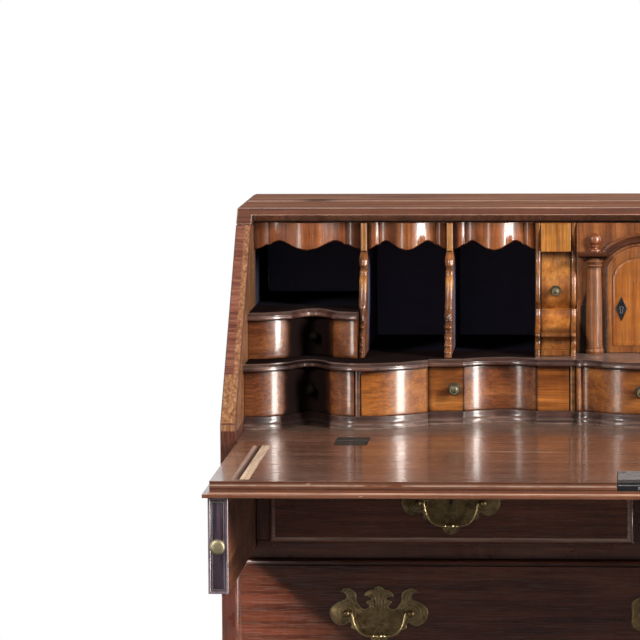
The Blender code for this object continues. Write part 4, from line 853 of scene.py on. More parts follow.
def back_boards():
    """The back: boards across, each with its edges taken off so that the joints show, and their
    nails."""
    edges = np.linspace(BASE_HEIGHT + GAP, UNDERSIDE - GAP, 6)
    rows = list(zip(edges, edges[1:]))
    half = HALF_INSIDE - GAP
    boards = [
        board((-half, half), (at(INNER_BACK), at(DEPTH) - BACK_SUNK), (low + GAP, high - GAP))
        for low, high in rows
    ]
    piece("back_boards", boards, BACK_WOOD, stands_for=("back_panel",), slot="oak", ease=0.0022)
    head = ((0.0, 0.0012), (0.0018, 0.0010), (0.0028, 0.0004), (0.0030, 0.0), (0.0, 0.0))
    nails = [
        turned(head, (side * across, at(DEPTH) - NAILS_SUNK, height), (0, 1, 0), 12)
        for low, high in rows
        for height in (low + 0.03, high - 0.03)
        for side in (-1, 1)
        for across in (half - 0.008, half * 0.36)
    ]
    piece("back_nails", nails, IRON, slot="iron")


def bracket_base():
    """The base: the feet as they are, with an ogee moulding carried round three sides of its
    top."""
    eased("bracket_base", CARCASE_ACROSS, "carcase", 0.0012, ARRIS_RED)
    outer, rear = HALF_WIDTH + 0.012, at(DEPTH) - 0.0002
    low = BASE_HEIGHT - 0.026
    path = [(-outer, rear, 0), (-outer, at(-0.012), 0), (outer, at(-0.012), 0), (outer, rear, 0)]
    ogee = [(0.0, 0.0), (0.0003, 0.004), (0.0022, 0.0085), (0.0054, 0.0115), (0.0070, 0.0165)]
    top = [(0.0056, 0.0175), (0.0050, 0.0195), (0.0058, 0.0215), (0.0074, 0.0222), (0.0090, 0.0222)]
    section = np.array([(0.0090, 0.0), *smooth(ogee, 5), *top]) + (0, low + 0.001)
    piece("base_moulding", [carried(section, path, UPWARDS)], CARCASE_ACROSS, slot="carcase")


# Fall, lopers and their iron


def screw(centre, axis, radius=0.0032):
    """A countersunk screw head with a sunk ring in it."""
    head = (
        (0.0, 0.00025), (radius * 0.30, 0.00025), (radius * 0.34, 0.0001), (radius * 0.42, 0.0003),
        (radius * 0.92, 0.0003), (radius, 0.0), (0.0, -0.0004),
    )
    return turned(head, centre, axis, 18)


def hinges():
    """Back-flap hinges: their leaves with countersunk screws."""
    spots = ((-0.013, 0.012), (0.013, 0.012), (0.0, 0.029))
    for word, side in SIDES:
        middle = side * 0.342713
        for kind, away, body in (("bed", 1, "carcase"), ("fall", -1, "fall")):
            eased(f"{kind}_hinge_leaf_{word}", IRON, "iron", 0.0003)
            heads = [
                screw((middle + across, at(away * back), WRITING_HEIGHT), UPWARDS)
                for across, back in spots
            ]
            piece(f"{kind}_hinge_screws_{word}", heads, IRON, body, slot="iron")


def fall():
    """The writing flap with its worn edge bead, its slip, and its lock with screws and a bolt."""
    eased("fall_board", TABLE_WOOD, "carcase", 0.0009, ARRIS_TABLE)
    half_body, behind = 0.4785, at(-0.003)
    front = at(-FALL_REACH - 0.000001)
    corner = WRITING_HEIGHT - 0.014442
    path = [
        (-half_body, behind, corner), (-half_body, front, corner), (half_body, front, corner),
        (half_body, behind, corner),
    ]
    angle = np.linspace(-0.2, math.pi / 2 + 0.2, 8)
    quarter = 0.0022 * np.stack([np.cos(angle), np.sin(angle)], axis=1)
    section = np.vstack([(-0.0006, -0.0006), quarter * (1, 0.8)]) * (-1, 1)
    edge = carried(section, path, UPWARDS, worn=0.45)
    piece("fall_bead", [edge], ARRIS_TABLE, "fall", slot="carcase")
    slip()
    eased("fall_lock", LOCK_STEEL, "iron", 0.0005)

    def plate(half, near, far, low, high):
        """A thin plate of the lock, between depths from the front edge and heights from the
        surface."""
        heights = (WRITING_HEIGHT + low, WRITING_HEIGHT + high)
        return board((-half, half), (front + near, front + far), heights)

    back = front + 0.092
    arris = plate(0.0258, -0.0002, 0.0008, -0.0038, -0.0026)
    bolt = plate(0.0040, -0.0004, 0.004, -0.0080, -0.0050)
    piece("lock_bolt", [arris, bolt], SILVER, "fall", slot="iron", ease=0.0002)
    worn = plate(0.0262, 0.022, 0.091, -0.0005, 0.0001)
    piece("lock_plate_worn", [worn], WORN_IRON, "fall", slot="iron")
    heads = [
        screw((across, depth, WRITING_HEIGHT), UPWARDS, 0.0030)
        for across in (-0.020, 0.020) for depth in (front + 0.016, back - 0.010)
    ]
    piece("lock_screws", heads, IRON, "fall", slot="iron")


def slip():
    """What is let into the left of the flap: a cream strip beside a groove whose other wall is
    rounded."""
    left, right = -0.4562, -0.4358
    near, far = at(-0.0383), at(-0.3227)
    floor, top = WRITING_HEIGHT - 0.006 + GAP, WRITING_HEIGHT - 0.00015
    size = (right - left, top - floor)
    along_y = np.linspace(far, near, 12)[:, None]

    wall = smooth([(0.0, 1.0), (0.12, 0.93), (0.22, 0.72), (0.31, 0.40), (0.38, 0.16)], 5)
    down = np.linspace(0, 1, len(wall))
    outline = np.vstack([[(0.0, 0.0)], wall, [(0.47, 0.10), (0.47, 0.0)]]) * size + (left, floor)
    shade = 0.9 * np.concatenate([[0.3], 0.30 + 0.62 * down**1.5, [0.94, 0.94]])
    worn = np.concatenate([[0.0], 0.9 * down[::-1] ** 2, [0, 0]])
    channel = solid(outline[:, 0], along_y, outline[:, 1], grime=shade, worn=worn)
    piece("slip_channel", [channel], TABLE_WOOD, "fall", slot="carcase", crease=40)

    outline = [(0.475, 0.0), (0.475, 0.97), (0.50, 1.0), (0.985, 1.0), (1.0, 0.96), (1.0, 0.0)]
    outline = np.array(outline) * size + (left, floor)
    rot = 0.55 * np.exp(-(near - along_y) / 0.025) * np.array([1, 1, 0.6, 0.1, 0.6, 1])
    strip = solid(outline[:, 0], along_y, outline[:, 1], grime=rot.clip(0, 0.7))
    piece("slip_strip", [strip], SLIP_WOOD, "fall", stands_for=("fall_slip",), slot="slip",
          crease=40)


LOPER_HALF = 0.0112
LOPER_HEIGHTS = (0.6333, 0.741258)
LOPER_KNOB = (
    (0.0, 0.0130), (0.0040, 0.0128), (0.0070, 0.0121), (0.0084, 0.0106), (0.0089, 0.0084),
    (0.0080, 0.0062), (0.0052, 0.0048), (0.0044, 0.0028), (0.0050, 0.0),
)


def lopers():
    """The pull-out supports: their fronts faced with dark wood in a paler border, with a string of
    metal let in and a turned brass knob."""
    front = at(-FALL_REACH)
    low, high = LOPER_HEIGHTS
    middle, inset = (low + high) / 2, 0.0046
    half, rise = LOPER_HALF - inset, (high - low) / 2 - inset
    border = (
        (0.0, front + 0.0016), (0.0, front - 0.0001), (0.0004, front - 0.0004),
        (0.0023, front - 0.0004), (0.0027, front - 0.0001), (0.0027, front + 0.0016),
    )
    panel = ((0.0030, front + 0.0016), (0.0030, front - 0.0001), (0.0034, front - 0.0003))
    string = [(-0.0005, -0.0003), (0.0005, -0.0003), (0.0005, 0.0004), (-0.0005, 0.0004)]
    for word, side in SIDES:
        across = side * (HALF_INSIDE - RUNNING - LOPER_HALF)
        body = "loper_" + word
        eased(body, CARCASE_DEEP, "loper", 0.0009)
        spread = (across - LOPER_HALF, across + LOPER_HALF)
        for part, profile, finish in (("border", border, LOPER_EDGE), ("face", panel, LOPER_WOOD)):
            shape = framed(spread, LOPER_HEIGHTS, profile)
            piece(f"loper_{part}_{word}", [shape], finish, body, slot="loper", crease=30)
        path = [
            (across - half, front, middle - rise), (across + half, front, middle - rise),
            (across + half, front, middle + rise), (across - half, front, middle + rise),
        ]
        string_shape = carried(string, path, closed=True)
        piece(f"loper_string_{word}", [string_shape], SILVER, body, slot="loper")
        knob_shape = turned(smooth(LOPER_KNOB, 5), (across, front, middle), steps=40)
        piece(f"loper_knob_{word}", [knob_shape], DULL_BRASS, body, slot="brass")


# Outside drawers and their brasses

THUMBNAIL = (
    (0.0003, 0.0), (0.0, 0.0010), (0.0, 0.0034), (0.0004, 0.0052), (0.0015, 0.0069),
    (0.0032, 0.0081), (0.0054, 0.0087), (0.0072, 0.0089), (0.0074, 0.0097), (0.0078, 0.0100),
)
# Painted highlight at each point of the thumbnail, dirt in its joint all round, and painted shade
# along its upper side
THUMBNAIL_HIGHLIGHT = (0, 0, 0, 0, 0, 0.2, 1.0, 1.0, 0.8, 0.0)
THUMBNAIL_JOINT = (0.7, 0.5, 0.2, 0, 0, 0, 0, 0, 0, 0)
THUMBNAIL_SHADE_ABOVE = (0.95, 0.95, 0.9, 0.35, 0.1, 0.0, 0.2, 0.75, 0.7, 0.0)
LINING = 0.010
LIP = 0.0025


def dovetailed(start, end, low, high, near, far, wall, tails):
    """The side linings: boards whose front ends are cut to dovetails let into the ends of the
    front."""
    pitch = (high - low) / tails
    outline = [(far, low), (far, high), (near, high)]
    for tail in reversed(range(tails)):
        middle = low + (tail + 0.5) * pitch
        outline += [
            (near, middle + 0.24 * pitch), (near - 0.012, middle + 0.38 * pitch),
            (near - 0.012, middle - 0.38 * pitch), (near, middle - 0.24 * pitch),
        ]
    outline.append((near, low))
    return [
        prism(outline, "side", start + wall, start - 0.00012),
        prism(outline, "side", end - wall, end + 0.00012),
    ]


def lipped_drawer(name, xs, zs, tails, rubbed):
    """A drawer with a thumbnail moulded and lipped front, a dark block behind it, and pale
    linings."""
    profile = [(inset, at(-0.0003) - depth * 0.97) for inset, depth in THUMBNAIL]
    # The thumbnail's lower edge is painted pale as a highlight, scaled by rubbed; on the long
    # drawers its upper side takes painted shade.
    worn = np.array(THUMBNAIL_HIGHLIGHT)[:, None] * (1, 1, 0.1, 0.1) * rubbed
    above = np.array(THUMBNAIL_SHADE_ABOVE)[:, None] * (0, 0, 1, 1) * (rubbed < 0.5)
    shut = np.maximum(np.array(THUMBNAIL_JOINT)[:, None], above)
    wide, tall = (xs[0] - LIP, xs[1] + LIP), (zs[0] - LIP, zs[1] + LIP)
    front = framed(wide, tall, profile, worn=worn, grime=shut)
    start, end = xs[0] + RUNNING, xs[1] - RUNNING
    low, high = zs[0] + GAP, zs[1] - RUNNING
    block = board((start, end), (at(-0.0006), at(0.010)), (low, high))
    piece(f"{name}_front", [front, block], DRAWER_WOOD, name, stands_for=(name,), slot="carcase",
          crease=30)
    sides = dovetailed(start, end, low, high - 0.002, at(0.010), at(REAR), LINING, tails)
    inside = (start + LINING, end - LINING)
    rear = board(inside, (at(REAR - LINING), at(REAR)), (low, high - 0.006))
    bottom = board(inside, (at(0.010), at(REAR - LINING)), (low + 0.002, low + 0.008))
    piece(f"{name}_linings", [*sides, rear, bottom], LINING_WOOD, name, slot="oak", ease=0.0006)


# Half of a batwing plate about the middle of its posts, from the crest by the wing to the tip, in
# millimetres
PLATE = (
    (0.0, 32.5), (4.2, 30.8), (6.4, 28.0), (10.5, 27.6), (14.6, 25.2), (17.4, 20.8), (13.8, 19.6),
    (10.4, 18.2), (8.8, 16.2), (12.2, 15.4), (15.0, 13.0), (14.0, 10.4), (11.4, 8.4), (13.2, 5.8),
    (17.2, 4.6), (21.4, 6.6), (24.8, 10.8), (27.0, 15.8), (26.6, 20.8), (28.8, 25.4), (33.4, 28.6),
    (38.6, 29.6), (43.2, 28.2), (46.6, 24.6), (42.2, 24.0), (38.8, 20.8), (38.8, 17.2),
    (42.8, 15.2), (49.0, 12.6), (54.8, 8.2), (58.1, 3.0), (58.4, -2.2), (56.2, -8.4),
    (51.4, -13.4), (44.8, -15.6), (38.8, -14.0), (35.4, -11.8), (32.6, -14.2), (33.2, -18.4),
    (29.6, -20.6), (25.2, -21.6), (22.2, -25.2), (18.0, -27.6), (13.2, -26.8), (10.4, -29.4),
    (9.0, -33.4), (4.8, -36.8), (0.0, -38.5),
)


def plate_outline(inset=0.0):
    """The plate's whole outline about the middle of its posts, drawn in by the inset."""
    half = smooth(PLATE, 4) / 1000
    whole = np.vstack([half, half[-2:0:-1] * (-1, 1)])
    steps = np.roll(whole, -1, axis=0) - np.roll(whole, 1, axis=0)
    inward = unit(np.stack([steps[:, 1], -steps[:, 0]], axis=1))
    return whole + inset * inward


def plate(name, outlines, thickness, ease, place, finish, body, slot):
    """A flat plate in front view, of an outline and the holes in it, with its edges rounded, stood
    up with the middle of its thickness at a place."""
    curve = bpy.data.curves.new(name, "CURVE")
    curve.dimensions = "2D"
    curve.fill_mode = "BOTH"
    curve.extrude = thickness / 2 - ease
    curve.bevel_depth = ease
    curve.bevel_resolution = 1
    curve.offset = -ease
    for outline in outlines:
        spline = curve.splines.new("POLY")
        spline.points.add(len(outline) - 1)
        flat = np.zeros((len(outline), 4))
        flat[:, :2] = outline
        flat[:, 3] = 1
        spline.points.foreach_set("co", flat.ravel())
        spline.use_cyclic_u = True
    holder = bpy.data.objects.new(name, curve)
    bpy.context.scene.collection.objects.link(holder)
    graph = bpy.context.evaluated_depsgraph_get()
    mesh = bpy.data.meshes.new_from_object(holder.evaluated_get(graph))
    bpy.data.objects.remove(holder, do_unlink=True)
    x, y, z = place
    mesh.transform(Matrix(((1, 0, 0, x), (0, 0, -1, y), (0, 1, 0, z), (0, 0, 0, 1))))
    tidy(mesh)
    dressed(name, mesh, finish, body, slot=slot, crease=50)


def oval(centre, across, up, steps=20):
    """An ellipse about a centre."""
    angle = np.linspace(0, 2 * math.pi, steps, endpoint=False)
    return np.asarray(centre) + np.stack([across * np.cos(angle), up * np.sin(angle)], axis=1)


def keyhole(centre, size):
    """A keyhole: a round with a slot that widens below it."""
    angle = np.linspace(-0.30 * math.pi, 1.30 * math.pi, 18)
    top = size * 0.5 * np.stack([np.cos(angle), np.sin(angle)], axis=1)
    foot = size * np.array([(-0.34, -1.5), (0.34, -1.5)])
    return np.asarray(centre) + np.vstack([top, foot])


def shaded_keyhole(name, centre, size, near, far, body):
    """A black plug in a keyhole: painted shade for its dark inside."""
    void = prism(keyhole(centre, size), "front", near, far)
    piece(name, [void], KEYHOLE_SHADE, body, slot="iron")


# Engraved lines of one half of a plate, in millimetres
VEINS = (
    ((29.5, 9.0), (32.4, 15.5), (33.6, 22.0), (39.5, 25.8)),
    ((35.4, 14.2), (36.2, 20.4), (41.5, 25.4)),
    ((3.2, 8.0), (4.0, 17.0), (8.0, 24.0), (13.4, 22.4)), ((6.4, 5.2), (8.6, 11.4), (12.2, 12.6)),
    ((5.0, -12.0), (13.0, -17.5), (22.0, -18.0), (27.4, -16.0)),
    ((3.0, -20.0), (6.2, -26.0), (4.2, -33.0)),
)
POST = (
    (0.0056, 0.0), (0.0054, 0.0008), (0.0030, 0.0016), (0.0028, 0.0040), (0.0040, 0.0060),
    (0.0042, 0.0086), (0.0034, 0.0108), (0.0014, 0.0119), (0.0, 0.0120),
)


def batwing(name, body, across, height, locked):
    """A pierced batwing plate with raised edge and rings, its posts, and the bail that hangs on
    them."""
    face = at(-DRAWER_PROUD)
    centre = (across, height)
    holes = [oval((side * 0.0052, 0.0125), 0.0010, 0.0026, 14) for side in (-1, 1)]
    if locked:
        holes.append(keyhole((0, 0.004), 0.0042))
    place = (across, face - PLATE_THICKNESS / 2, height)
    outlines = [plate_outline(), *holes]
    plate(name + "_plate", outlines, PLATE_THICKNESS, 0.0003, place, BRASS, body, "brass")
    if locked:
        hole = (across, height + 0.004)
        shaded_keyhole(name + "_keyhole", hole, 0.0042, face - 0.0003, face + 0.0002, body)

    front = face - PLATE_THICKNESS
    beads = [bead(plate_outline(0.0009) + centre, front, 0.00042)]
    lines = [
        (oval((side * HALF_POSTS, 0), radius, radius, 32), True)
        for side in (-1, 1) for radius in (0.0072, 0.0112)
    ]
    lines += [
        (smooth(np.array(vein) * (side, 1) / 1000, 6), False) for vein in VEINS for side in (-1, 1)
    ]
    for low, high in ((-0.036, -0.021), (0.008, 0.030)):
        lines.append((np.linspace((0, low), (0, high), 8), False))
    beads += [bead(line + centre, front, 0.00036, closed) for line, closed in lines]
    piece(name + "_beads", beads, DULL_BRASS, body, slot="brass")
    post = smooth(POST, 4)
    posts = [turned(post, (across + side * HALF_POSTS, face, height), steps=24) for side in (-1, 1)]
    piece(name + "_posts", posts, BRASS, body, slot="brass")
    bail(name + "_bail", across, height)


# Half of a bail from its end to its middle: share of the way in, share of the drop
BAIL_SHARES = (
    (0.00, 0.00), (0.05, 0.00), (0.09, 0.20), (0.14, 0.45), (0.23, 0.68), (0.36, 0.86),
    (0.54, 0.96), (0.77, 1.00), (1.00, 1.00),
)

BAIL_KNOP = (
    (0.0, -0.0078), (0.0017, -0.0078), (0.0025, -0.0066), (0.0017, -0.0054), (0.0019, -0.0040),
    (0.0031, -0.0018), (0.0033, 0.0), (0.0031, 0.0018), (0.0019, 0.0040), (0.0017, 0.0054),
    (0.0025, 0.0066), (0.0017, 0.0078), (0.0, 0.0078),
)


def bail(name, across, height):
    """The swinging pull: a round rod, thicker to its middle, with a knop between two rings
    there."""
    reach, drop, depth = HALF_POSTS - 0.0042 - GAP, 0.027, at(-DRAWER_PROUD) - 0.0085
    half = smooth(BAIL_SHARES, 5) * (reach, -drop) - (reach, 0)
    whole = np.vstack([half, half[-2::-1] * (-1, 1)])
    radius = 0.00130 + 0.00040 * bell(whole[:, 0], 0, 0.016)
    section = round_section(1.0, 12)[None] * radius[:, None, None]
    rod = carried(section, upright(whole + (across, height), depth))
    knop = turned(smooth(BAIL_KNOP, 3), (across, depth, height - drop), (1, 0, 0), 20)
    piece(name + "_rod", [rod, knop], BRIGHT_BRASS, name, stands_for=(name,), slot="brass")


def outside_drawers():
    """Two top drawers and three long ones."""
    for word, side in SIDES:
        name = "top_drawer_" + word
        xs = sorted((side * 0.011, side * 0.4393))
        lipped_drawer(name, xs, (0.641, 0.736258), 3, 0.55)
        batwing("top_handle_" + word, name, side * 0.22515, 0.688629, True)
    for word, *zs in (("upper", 0.477, 0.617), ("middle", 0.307, 0.457), ("lower", 0.127, 0.287)):
        name = "long_drawer_" + word
        lipped_drawer(name, (-HALF_INSIDE, HALF_INSIDE), zs, 4, 0.12)
        height = sum(zs) / 2 + 0.009
        for hand, side in SIDES:
            batwing(f"{name}_handle_{hand}", name, side * 0.311298, height, False)
        key_plate(name, height)


def key_plate(name, height):
    """The keyhole plate in the middle of a long drawer: an oval drawn in at its waist."""
    face = at(-DRAWER_PROUD)
    angle = np.linspace(0, 2 * math.pi, 48, endpoint=False)
    waist = 1 - 0.25 * np.cos(2 * angle) ** 2
    outline = np.stack([0.015 * waist * np.sin(angle), 0.021 * np.cos(angle)], axis=1)
    outlines = [outline, keyhole((0, 0.003), 0.0052)]
    place = (0, face - PLATE_THICKNESS / 2, height)
    plate(name + "_key_plate", outlines, PLATE_THICKNESS, 0.0003, place, BRASS, name, "brass")
    shaded_keyhole(name + "_keyhole", (0, height + 0.003), 0.0052, face - 0.0003, face + 0.0002, name)
    rim = bead(outline * (0.87, 0.91) + (0, height), face - PLATE_THICKNESS, 0.0004)
    piece(name + "_key_rim", [rim], BRIGHT_BRASS, name, slot="brass")


# Fitted interior


def plan_line(start, end, setback=0.0, steps=17):
    """Places across and depths along the serpentine plan. On each run, with t the share of it, the
    depth is d0 + (d1 - d0) t - 4 s t (1 - t); t is spaced as (1 - cos) so that a run's ends are
    close."""
    right = PLAN
    left = PLAN[::-1][:, [1, 0, 3, 2, 4]] * (-1, -1, 1, 1, 1)
    across, behind = [], []
    for first, last, near, far, swell in np.vstack([left, right]):
        low, high = max(first * HALF_INSIDE, start), min(last * HALF_INSIDE, end)
        if high - low < GAP:
            continue
        place = low + (high - low) * (1 - np.cos(np.linspace(0, math.pi, steps))) / 2
        t = (place / HALF_INSIDE - first) / (last - first)
        across.append(place)
        back = near + (far - near) * t - 4 * swell * t * (1 - t)
        behind.append(GALLERY_FRONT + setback + GALLERY_SWEEP * back)
    across, behind = np.concatenate(across), np.concatenate(behind)
    keep = np.append(True, np.hypot(np.diff(across), np.diff(behind)) > 2e-6)
    return across[keep], behind[keep]


def creases(across, depth=0.0003, width=0.0009):
    """Small grooves where two lobes of the plan meet: depth e^-((x - x0) / width)^2."""
    meets = HALF_INSIDE * PLAN[[4, 5, 6, 8, 9], 0]
    away = np.abs(np.abs(across)[:, None] - meets) / width
    return depth * np.exp(-away**2).sum(axis=1)


def serpentine(start, end, section, setback=0.0, **marks):
    """A closed section carried along the plan, as steps forward of the plan and heights. A step of
    None stands for the back of the interior, which is straight."""
    across, behind = plan_line(start, end, setback)
    out = np.array([0.0 if step is None else step for step, _ in section])
    height = np.array([up for _, up in section])
    straight = np.array([step is None for step, _ in section])
    depth = np.where(straight, INNER_BACK - GAP, (behind + creases(across))[:, None] - out)
    return solid(across[:, None], at(depth), height, **marks)


def shelf_section(low, high):
    """A shelf's edge: a torus under a fillet and a small cove, then the flat top and underside."""
    up = high - low
    torus = smooth([(0.60, 0.02), (0.90, 0.06), (1.00, 0.26), (0.93, 0.48), (0.70, 0.56)], 4)
    cove = smooth([(0.62, 0.66), (0.50, 0.74), (0.38, 0.88), (0.30, 0.97)], 3)
    edge = np.vstack([torus, [(0.68, 0.64)], cove, [(0.27, 1.0), (-0.6, 1.0), (-1.6, 1.0)]])
    edge = edge * (SHELF_LIP, up) + (0, low)
    return [(None, low), *map(tuple, edge), (None, high)]


def knob(name, body, across, depth, height, radius=0.0080, length=0.0140, dull=0.0):
    """A little turned brass knob on a moulded rose that is wider than it."""
    grip = 0.74 * radius
    head = smooth([
        (0.0, length), (0.46 * grip, 0.97 * length), (0.84 * grip, 0.86 * length),
        (grip, 0.68 * length), (0.90 * grip, 0.50 * length), (0.56 * grip, 0.38 * length),
        (0.50 * grip, 0.27 * length),
    ], 4)
    collar = np.array([(0.62, 0.22), (0.70, 0.15), (0.80, 0.14)]) * (radius, length)
    rose = [(0.94 * radius, 0.13 * length), (radius, 0.07 * length), (radius, 0.0)]
    profile = np.vstack([head, smooth(collar, 3), smooth(rose, 3), [(0.0, -0.03 * length)]])
    hollow = 0.55 * bell(profile[:, 1], 0.20 * length, 0.10 * length)
    # A knob in the side drawers' hollow is darkened whole: painted shade for that black hollow.
    grime = np.clip(hollow + dull, 0, 0.95)[:, None]
    shape = turned(profile, (across, at(depth) + 0.0003, height), steps=32, grime=grime)
    piece(name, [shape], KNOB_BRASS, body, slot="brass")
    if not dull:
        ring = oval((across, height), 0.80 * grip, 0.80 * grip, 28)
        rim = bead(ring, at(depth) - 0.87 * length, 0.09 * radius)
        piece(f"{name}_rim", [rim], DULL_BRASS, body, slot="brass")


def thin_linings(name, start, end, hollow, low, high):
    """The linings of a little drawer: two sides, a back and a bottom behind its front."""
    inside = (start + THIN_LINING, end - THIN_LINING)
    whole, behind = (at(hollow), at(REAR)), at(REAR - THIN_LINING)
    boards = [
        board((start, inside[0]), whole, (low, high - 0.001)),
        board((inside[1], end), whole, (low, high - 0.001)),
        board(inside, (behind, at(REAR)), (low, high - 0.004)),
        board(inside, (at(hollow), behind), (low + 0.0008, low + 0.004)),
    ]
    piece(f"{name}_linings", boards, LINING_WOOD, name, slot="interior", ease=0.0005)


def plan_depth(place, setback=0.0):
    """Depth of the plan at one place across."""
    across, behind = plan_line(-HALF_INSIDE, HALF_INSIDE, setback)
    return float(np.interp(place, across, behind))


def in_niche_shade(across):
    """1 in the hollow of the side drawers, which is painted black as its shade, and 0 away from it.
    """
    return bell(np.abs(across) / HALF_INSIDE, 0.846, 0.061, 12)


def small_drawer(name, xs, zs, knob_place, setback=0.0, tone=0.0, niche_shade=0.0):
    """A little drawer: a solid serpentine front, linings, a bottom and a knob."""
    start, end = xs[0] + RUNNING, xs[1] - RUNNING
    low, high = zs[0] + GAP, zs[1] - RUNNING
    middle = (low + high) / 2
    across, behind = plan_line(start, end, setback)
    hollow = behind.max() + 0.008
    ease = 0.0008
    flat = np.linspace(low + 0.003, high - 0.003, 11)
    lower = [low, low, low + 0.3 * ease, low + ease]
    upper = [high - ease, high - 0.3 * ease, high, high]
    levels = np.array([*lower, *flat, *upper])
    inward = np.array([np.nan, ease, 0.3 * ease, 0, *np.zeros(11), 0, 0.3 * ease, ease, np.nan])
    face = (behind + creases(across))[:, None] + np.nan_to_num(inward)
    depth = np.where(np.isnan(inward), hollow, face)

    # Painted shade in the creases and along the top and bottom edges, hand dirt round the knob, and
    # black painted shade in the side drawers' hollow.
    crease_shade = 0.8 * creases(across, 1.0, 0.0014).clip(0, 1)
    edges = 0.45 * np.exp(-np.minimum(levels - low, high - levels) / 0.0022)
    handled = (across - knob_place - 0.006 * np.sign(knob_place))[:, None] / 0.015
    handled = 0.50 * np.exp(-(handled**2) - ((levels - middle) / 0.013) ** 2)
    grime = np.maximum(niche_shade * in_niche_shade(across), crease_shade)[:, None] + edges + handled
    bulge = bell(np.abs(across) / HALF_INSIDE, 0.358, 0.090, 8)
    golden = (tone * (1 - 0.85 * bulge))[:, None]
    grime = np.clip(grime, 0, 0.99)
    front = solid(across[:, None], at(depth), levels, grime=grime, golden=golden)
    piece(f"{name}_front", [front], INSIDE_WOOD, name, stands_for=(name,), slot="interior",
          crease=32)
    thin_linings(name, start, end, hollow, low, high)
    place = plan_depth(knob_place, setback)
    knob(f"{name}_knob", name, knob_place, place, middle, dull=1.0 * bool(niche_shade))


def short_divider(middle, tone):
    """A short divider under the main shelf, with a rounded front edge."""
    half = 0.0038
    front = max(plan_depth(middle - 0.004), plan_depth(middle + 0.004))
    height = np.linspace(LOWER_FLOOR - 0.001, SHELF_FLOOR - GAP, 5)
    angle = np.linspace(-math.pi / 2, math.pi / 2, 11)
    nose = np.stack([half * np.sin(angle), front + 0.0005 + 0.0024 * (1 - np.cos(angle))], axis=1)
    ring = np.vstack([nose, [(half, INNER_BACK - GAP), (-half, INNER_BACK - GAP)]])
    return solid(middle + ring[:, 0], at(ring[:, 1]), height[:, None], golden=tone)


def interior_shelves():
    """The moulded base, the main shelf, the side shelves and the short dividers under the main
    shelf."""
    wide = HALF_INSIDE - GAP
    low = WRITING_HEIGHT + GAP
    up = LOWER_FLOOR - low
    foot = smooth([(1.35, 0.0), (1.36, 0.18), (1.28, 0.32)], 4)
    cove = smooth([(1.10, 0.40), (0.92, 0.50), (0.80, 0.66), (0.74, 0.84)], 4)
    edge = np.vstack([foot, [(1.14, 0.34)], cove, [(0.70, 0.92), (0.66, 1.0)]])
    edge = edge * (SHELF_LIP, up) + (0, low)
    section = [(None, low), *map(tuple, edge), (None, LOWER_FLOOR)]
    rise = np.array([height for _, height in section]) - low
    scuffs = 0.95 * bell(rise, 0, 0.0022) + 0.35 * bell(rise, 0.0060, 0.0012)
    posts = [
        short_divider(side * middle, tone)
        for _, side in SIDES
        for middle, tone in ((OUTER_DIVIDER, 0.1), (DOCUMENT_INNER, 0.5))
    ]
    across = plan_line(-wide, wide)[0][:, None]
    uneven = 0.5 + 0.3 * np.sin(97 * across) * np.sin(41 * across + 1)
    uneven = uneven + 0.2 * np.sin(233 * across + 2)
    # A mottled darkening along the base moulding, and black painted shade below the side drawers'
    # hollow.
    dark = np.clip(0.36 + 0.25 * uneven + 0.7 * in_niche_shade(across), 0, 0.95)
    base = serpentine(-wide, wide, section, grime=dark, worn=scuffs * (1 - dark))

    def shelf_piece(name, shape, stands_for):
        """One moulded piece of the shelves, in place of one solid."""
        piece(name, shape, SHELF_WOOD, stands_for=(stands_for,), slot="interior", crease=32)

    shelf_piece("gallery_base_moulding", [base, *posts], "gallery_base")
    edge = shelf_section(SHELF_FLOOR, SHELF_TOP)
    # Black painted shade on the top inside the pigeonholes, painted shade in the cove under the
    # torus over a slight even darkening, and painted shade in front of the side drawers' hollow.
    behind = np.array([0.99, *[0.0] * (len(edge) - 3), 0.99, 0.99])
    place = np.arange(len(edge))
    cove = np.where((place > 17) & (place < 29), 0.55, 0.15)
    holes = np.abs(across) > DOCUMENT_OUTER + 0.003
    lip = cove + 0.5 * in_niche_shade(across) * (behind == 0)
    grime = np.clip(np.maximum(behind * holes, lip), 0, 0.99)
    shelf_piece("main_shelf_moulding", [serpentine(-wide, wide, edge, grime=grime)], "main_shelf")
    for word, side in SIDES:
        xs = sorted((side * (OUTER_DIVIDER + 0.0043), side * wide))
        edge = shelf_section(SIDE_SHELF_FLOOR, SIDE_SHELF_TOP)
        # Painted shade on the top inside the pigeonholes and in the cove.
        shelf = serpentine(*xs, edge, TIER_SETBACK, grime=np.maximum(behind, cove))
        shelf_piece(f"side_shelf_{word}_moulding", [shelf], "side_shelf_" + word)


WIDE_KNOB = 0.228235  # places of the knobs across
SIDE_KNOB = 0.403559


def inside_drawers():
    """The serpentine drawers: one in the middle, a wide one and two side ones on each hand."""
    lower, upper = (LOWER_FLOOR, SHELF_FLOOR), (SHELF_TOP, SIDE_SHELF_FLOOR)
    centre = DOCUMENT_INNER - 0.004
    small_drawer("centre_drawer", (-centre, centre), lower, 0.0, tone=0.7)
    for word, side in SIDES:
        xs = sorted((side * (DOCUMENT_INNER + 0.004), side * (OUTER_DIVIDER - 0.004)))
        small_drawer("wide_drawer_" + word, xs, lower, side * WIDE_KNOB, tone=0.78)
        xs = sorted((side * (OUTER_DIVIDER + 0.004), side * HALF_INSIDE))
        levels = (("lower", lower, 0.0, 0.1), ("upper", upper, TIER_SETBACK, 0.2))
        for level, zs, setback, tone in levels:
            name = f"side_drawer_{level}_{word}"
            small_drawer(name, xs, zs, side * SIDE_KNOB, setback, tone, niche_shade=0.98)


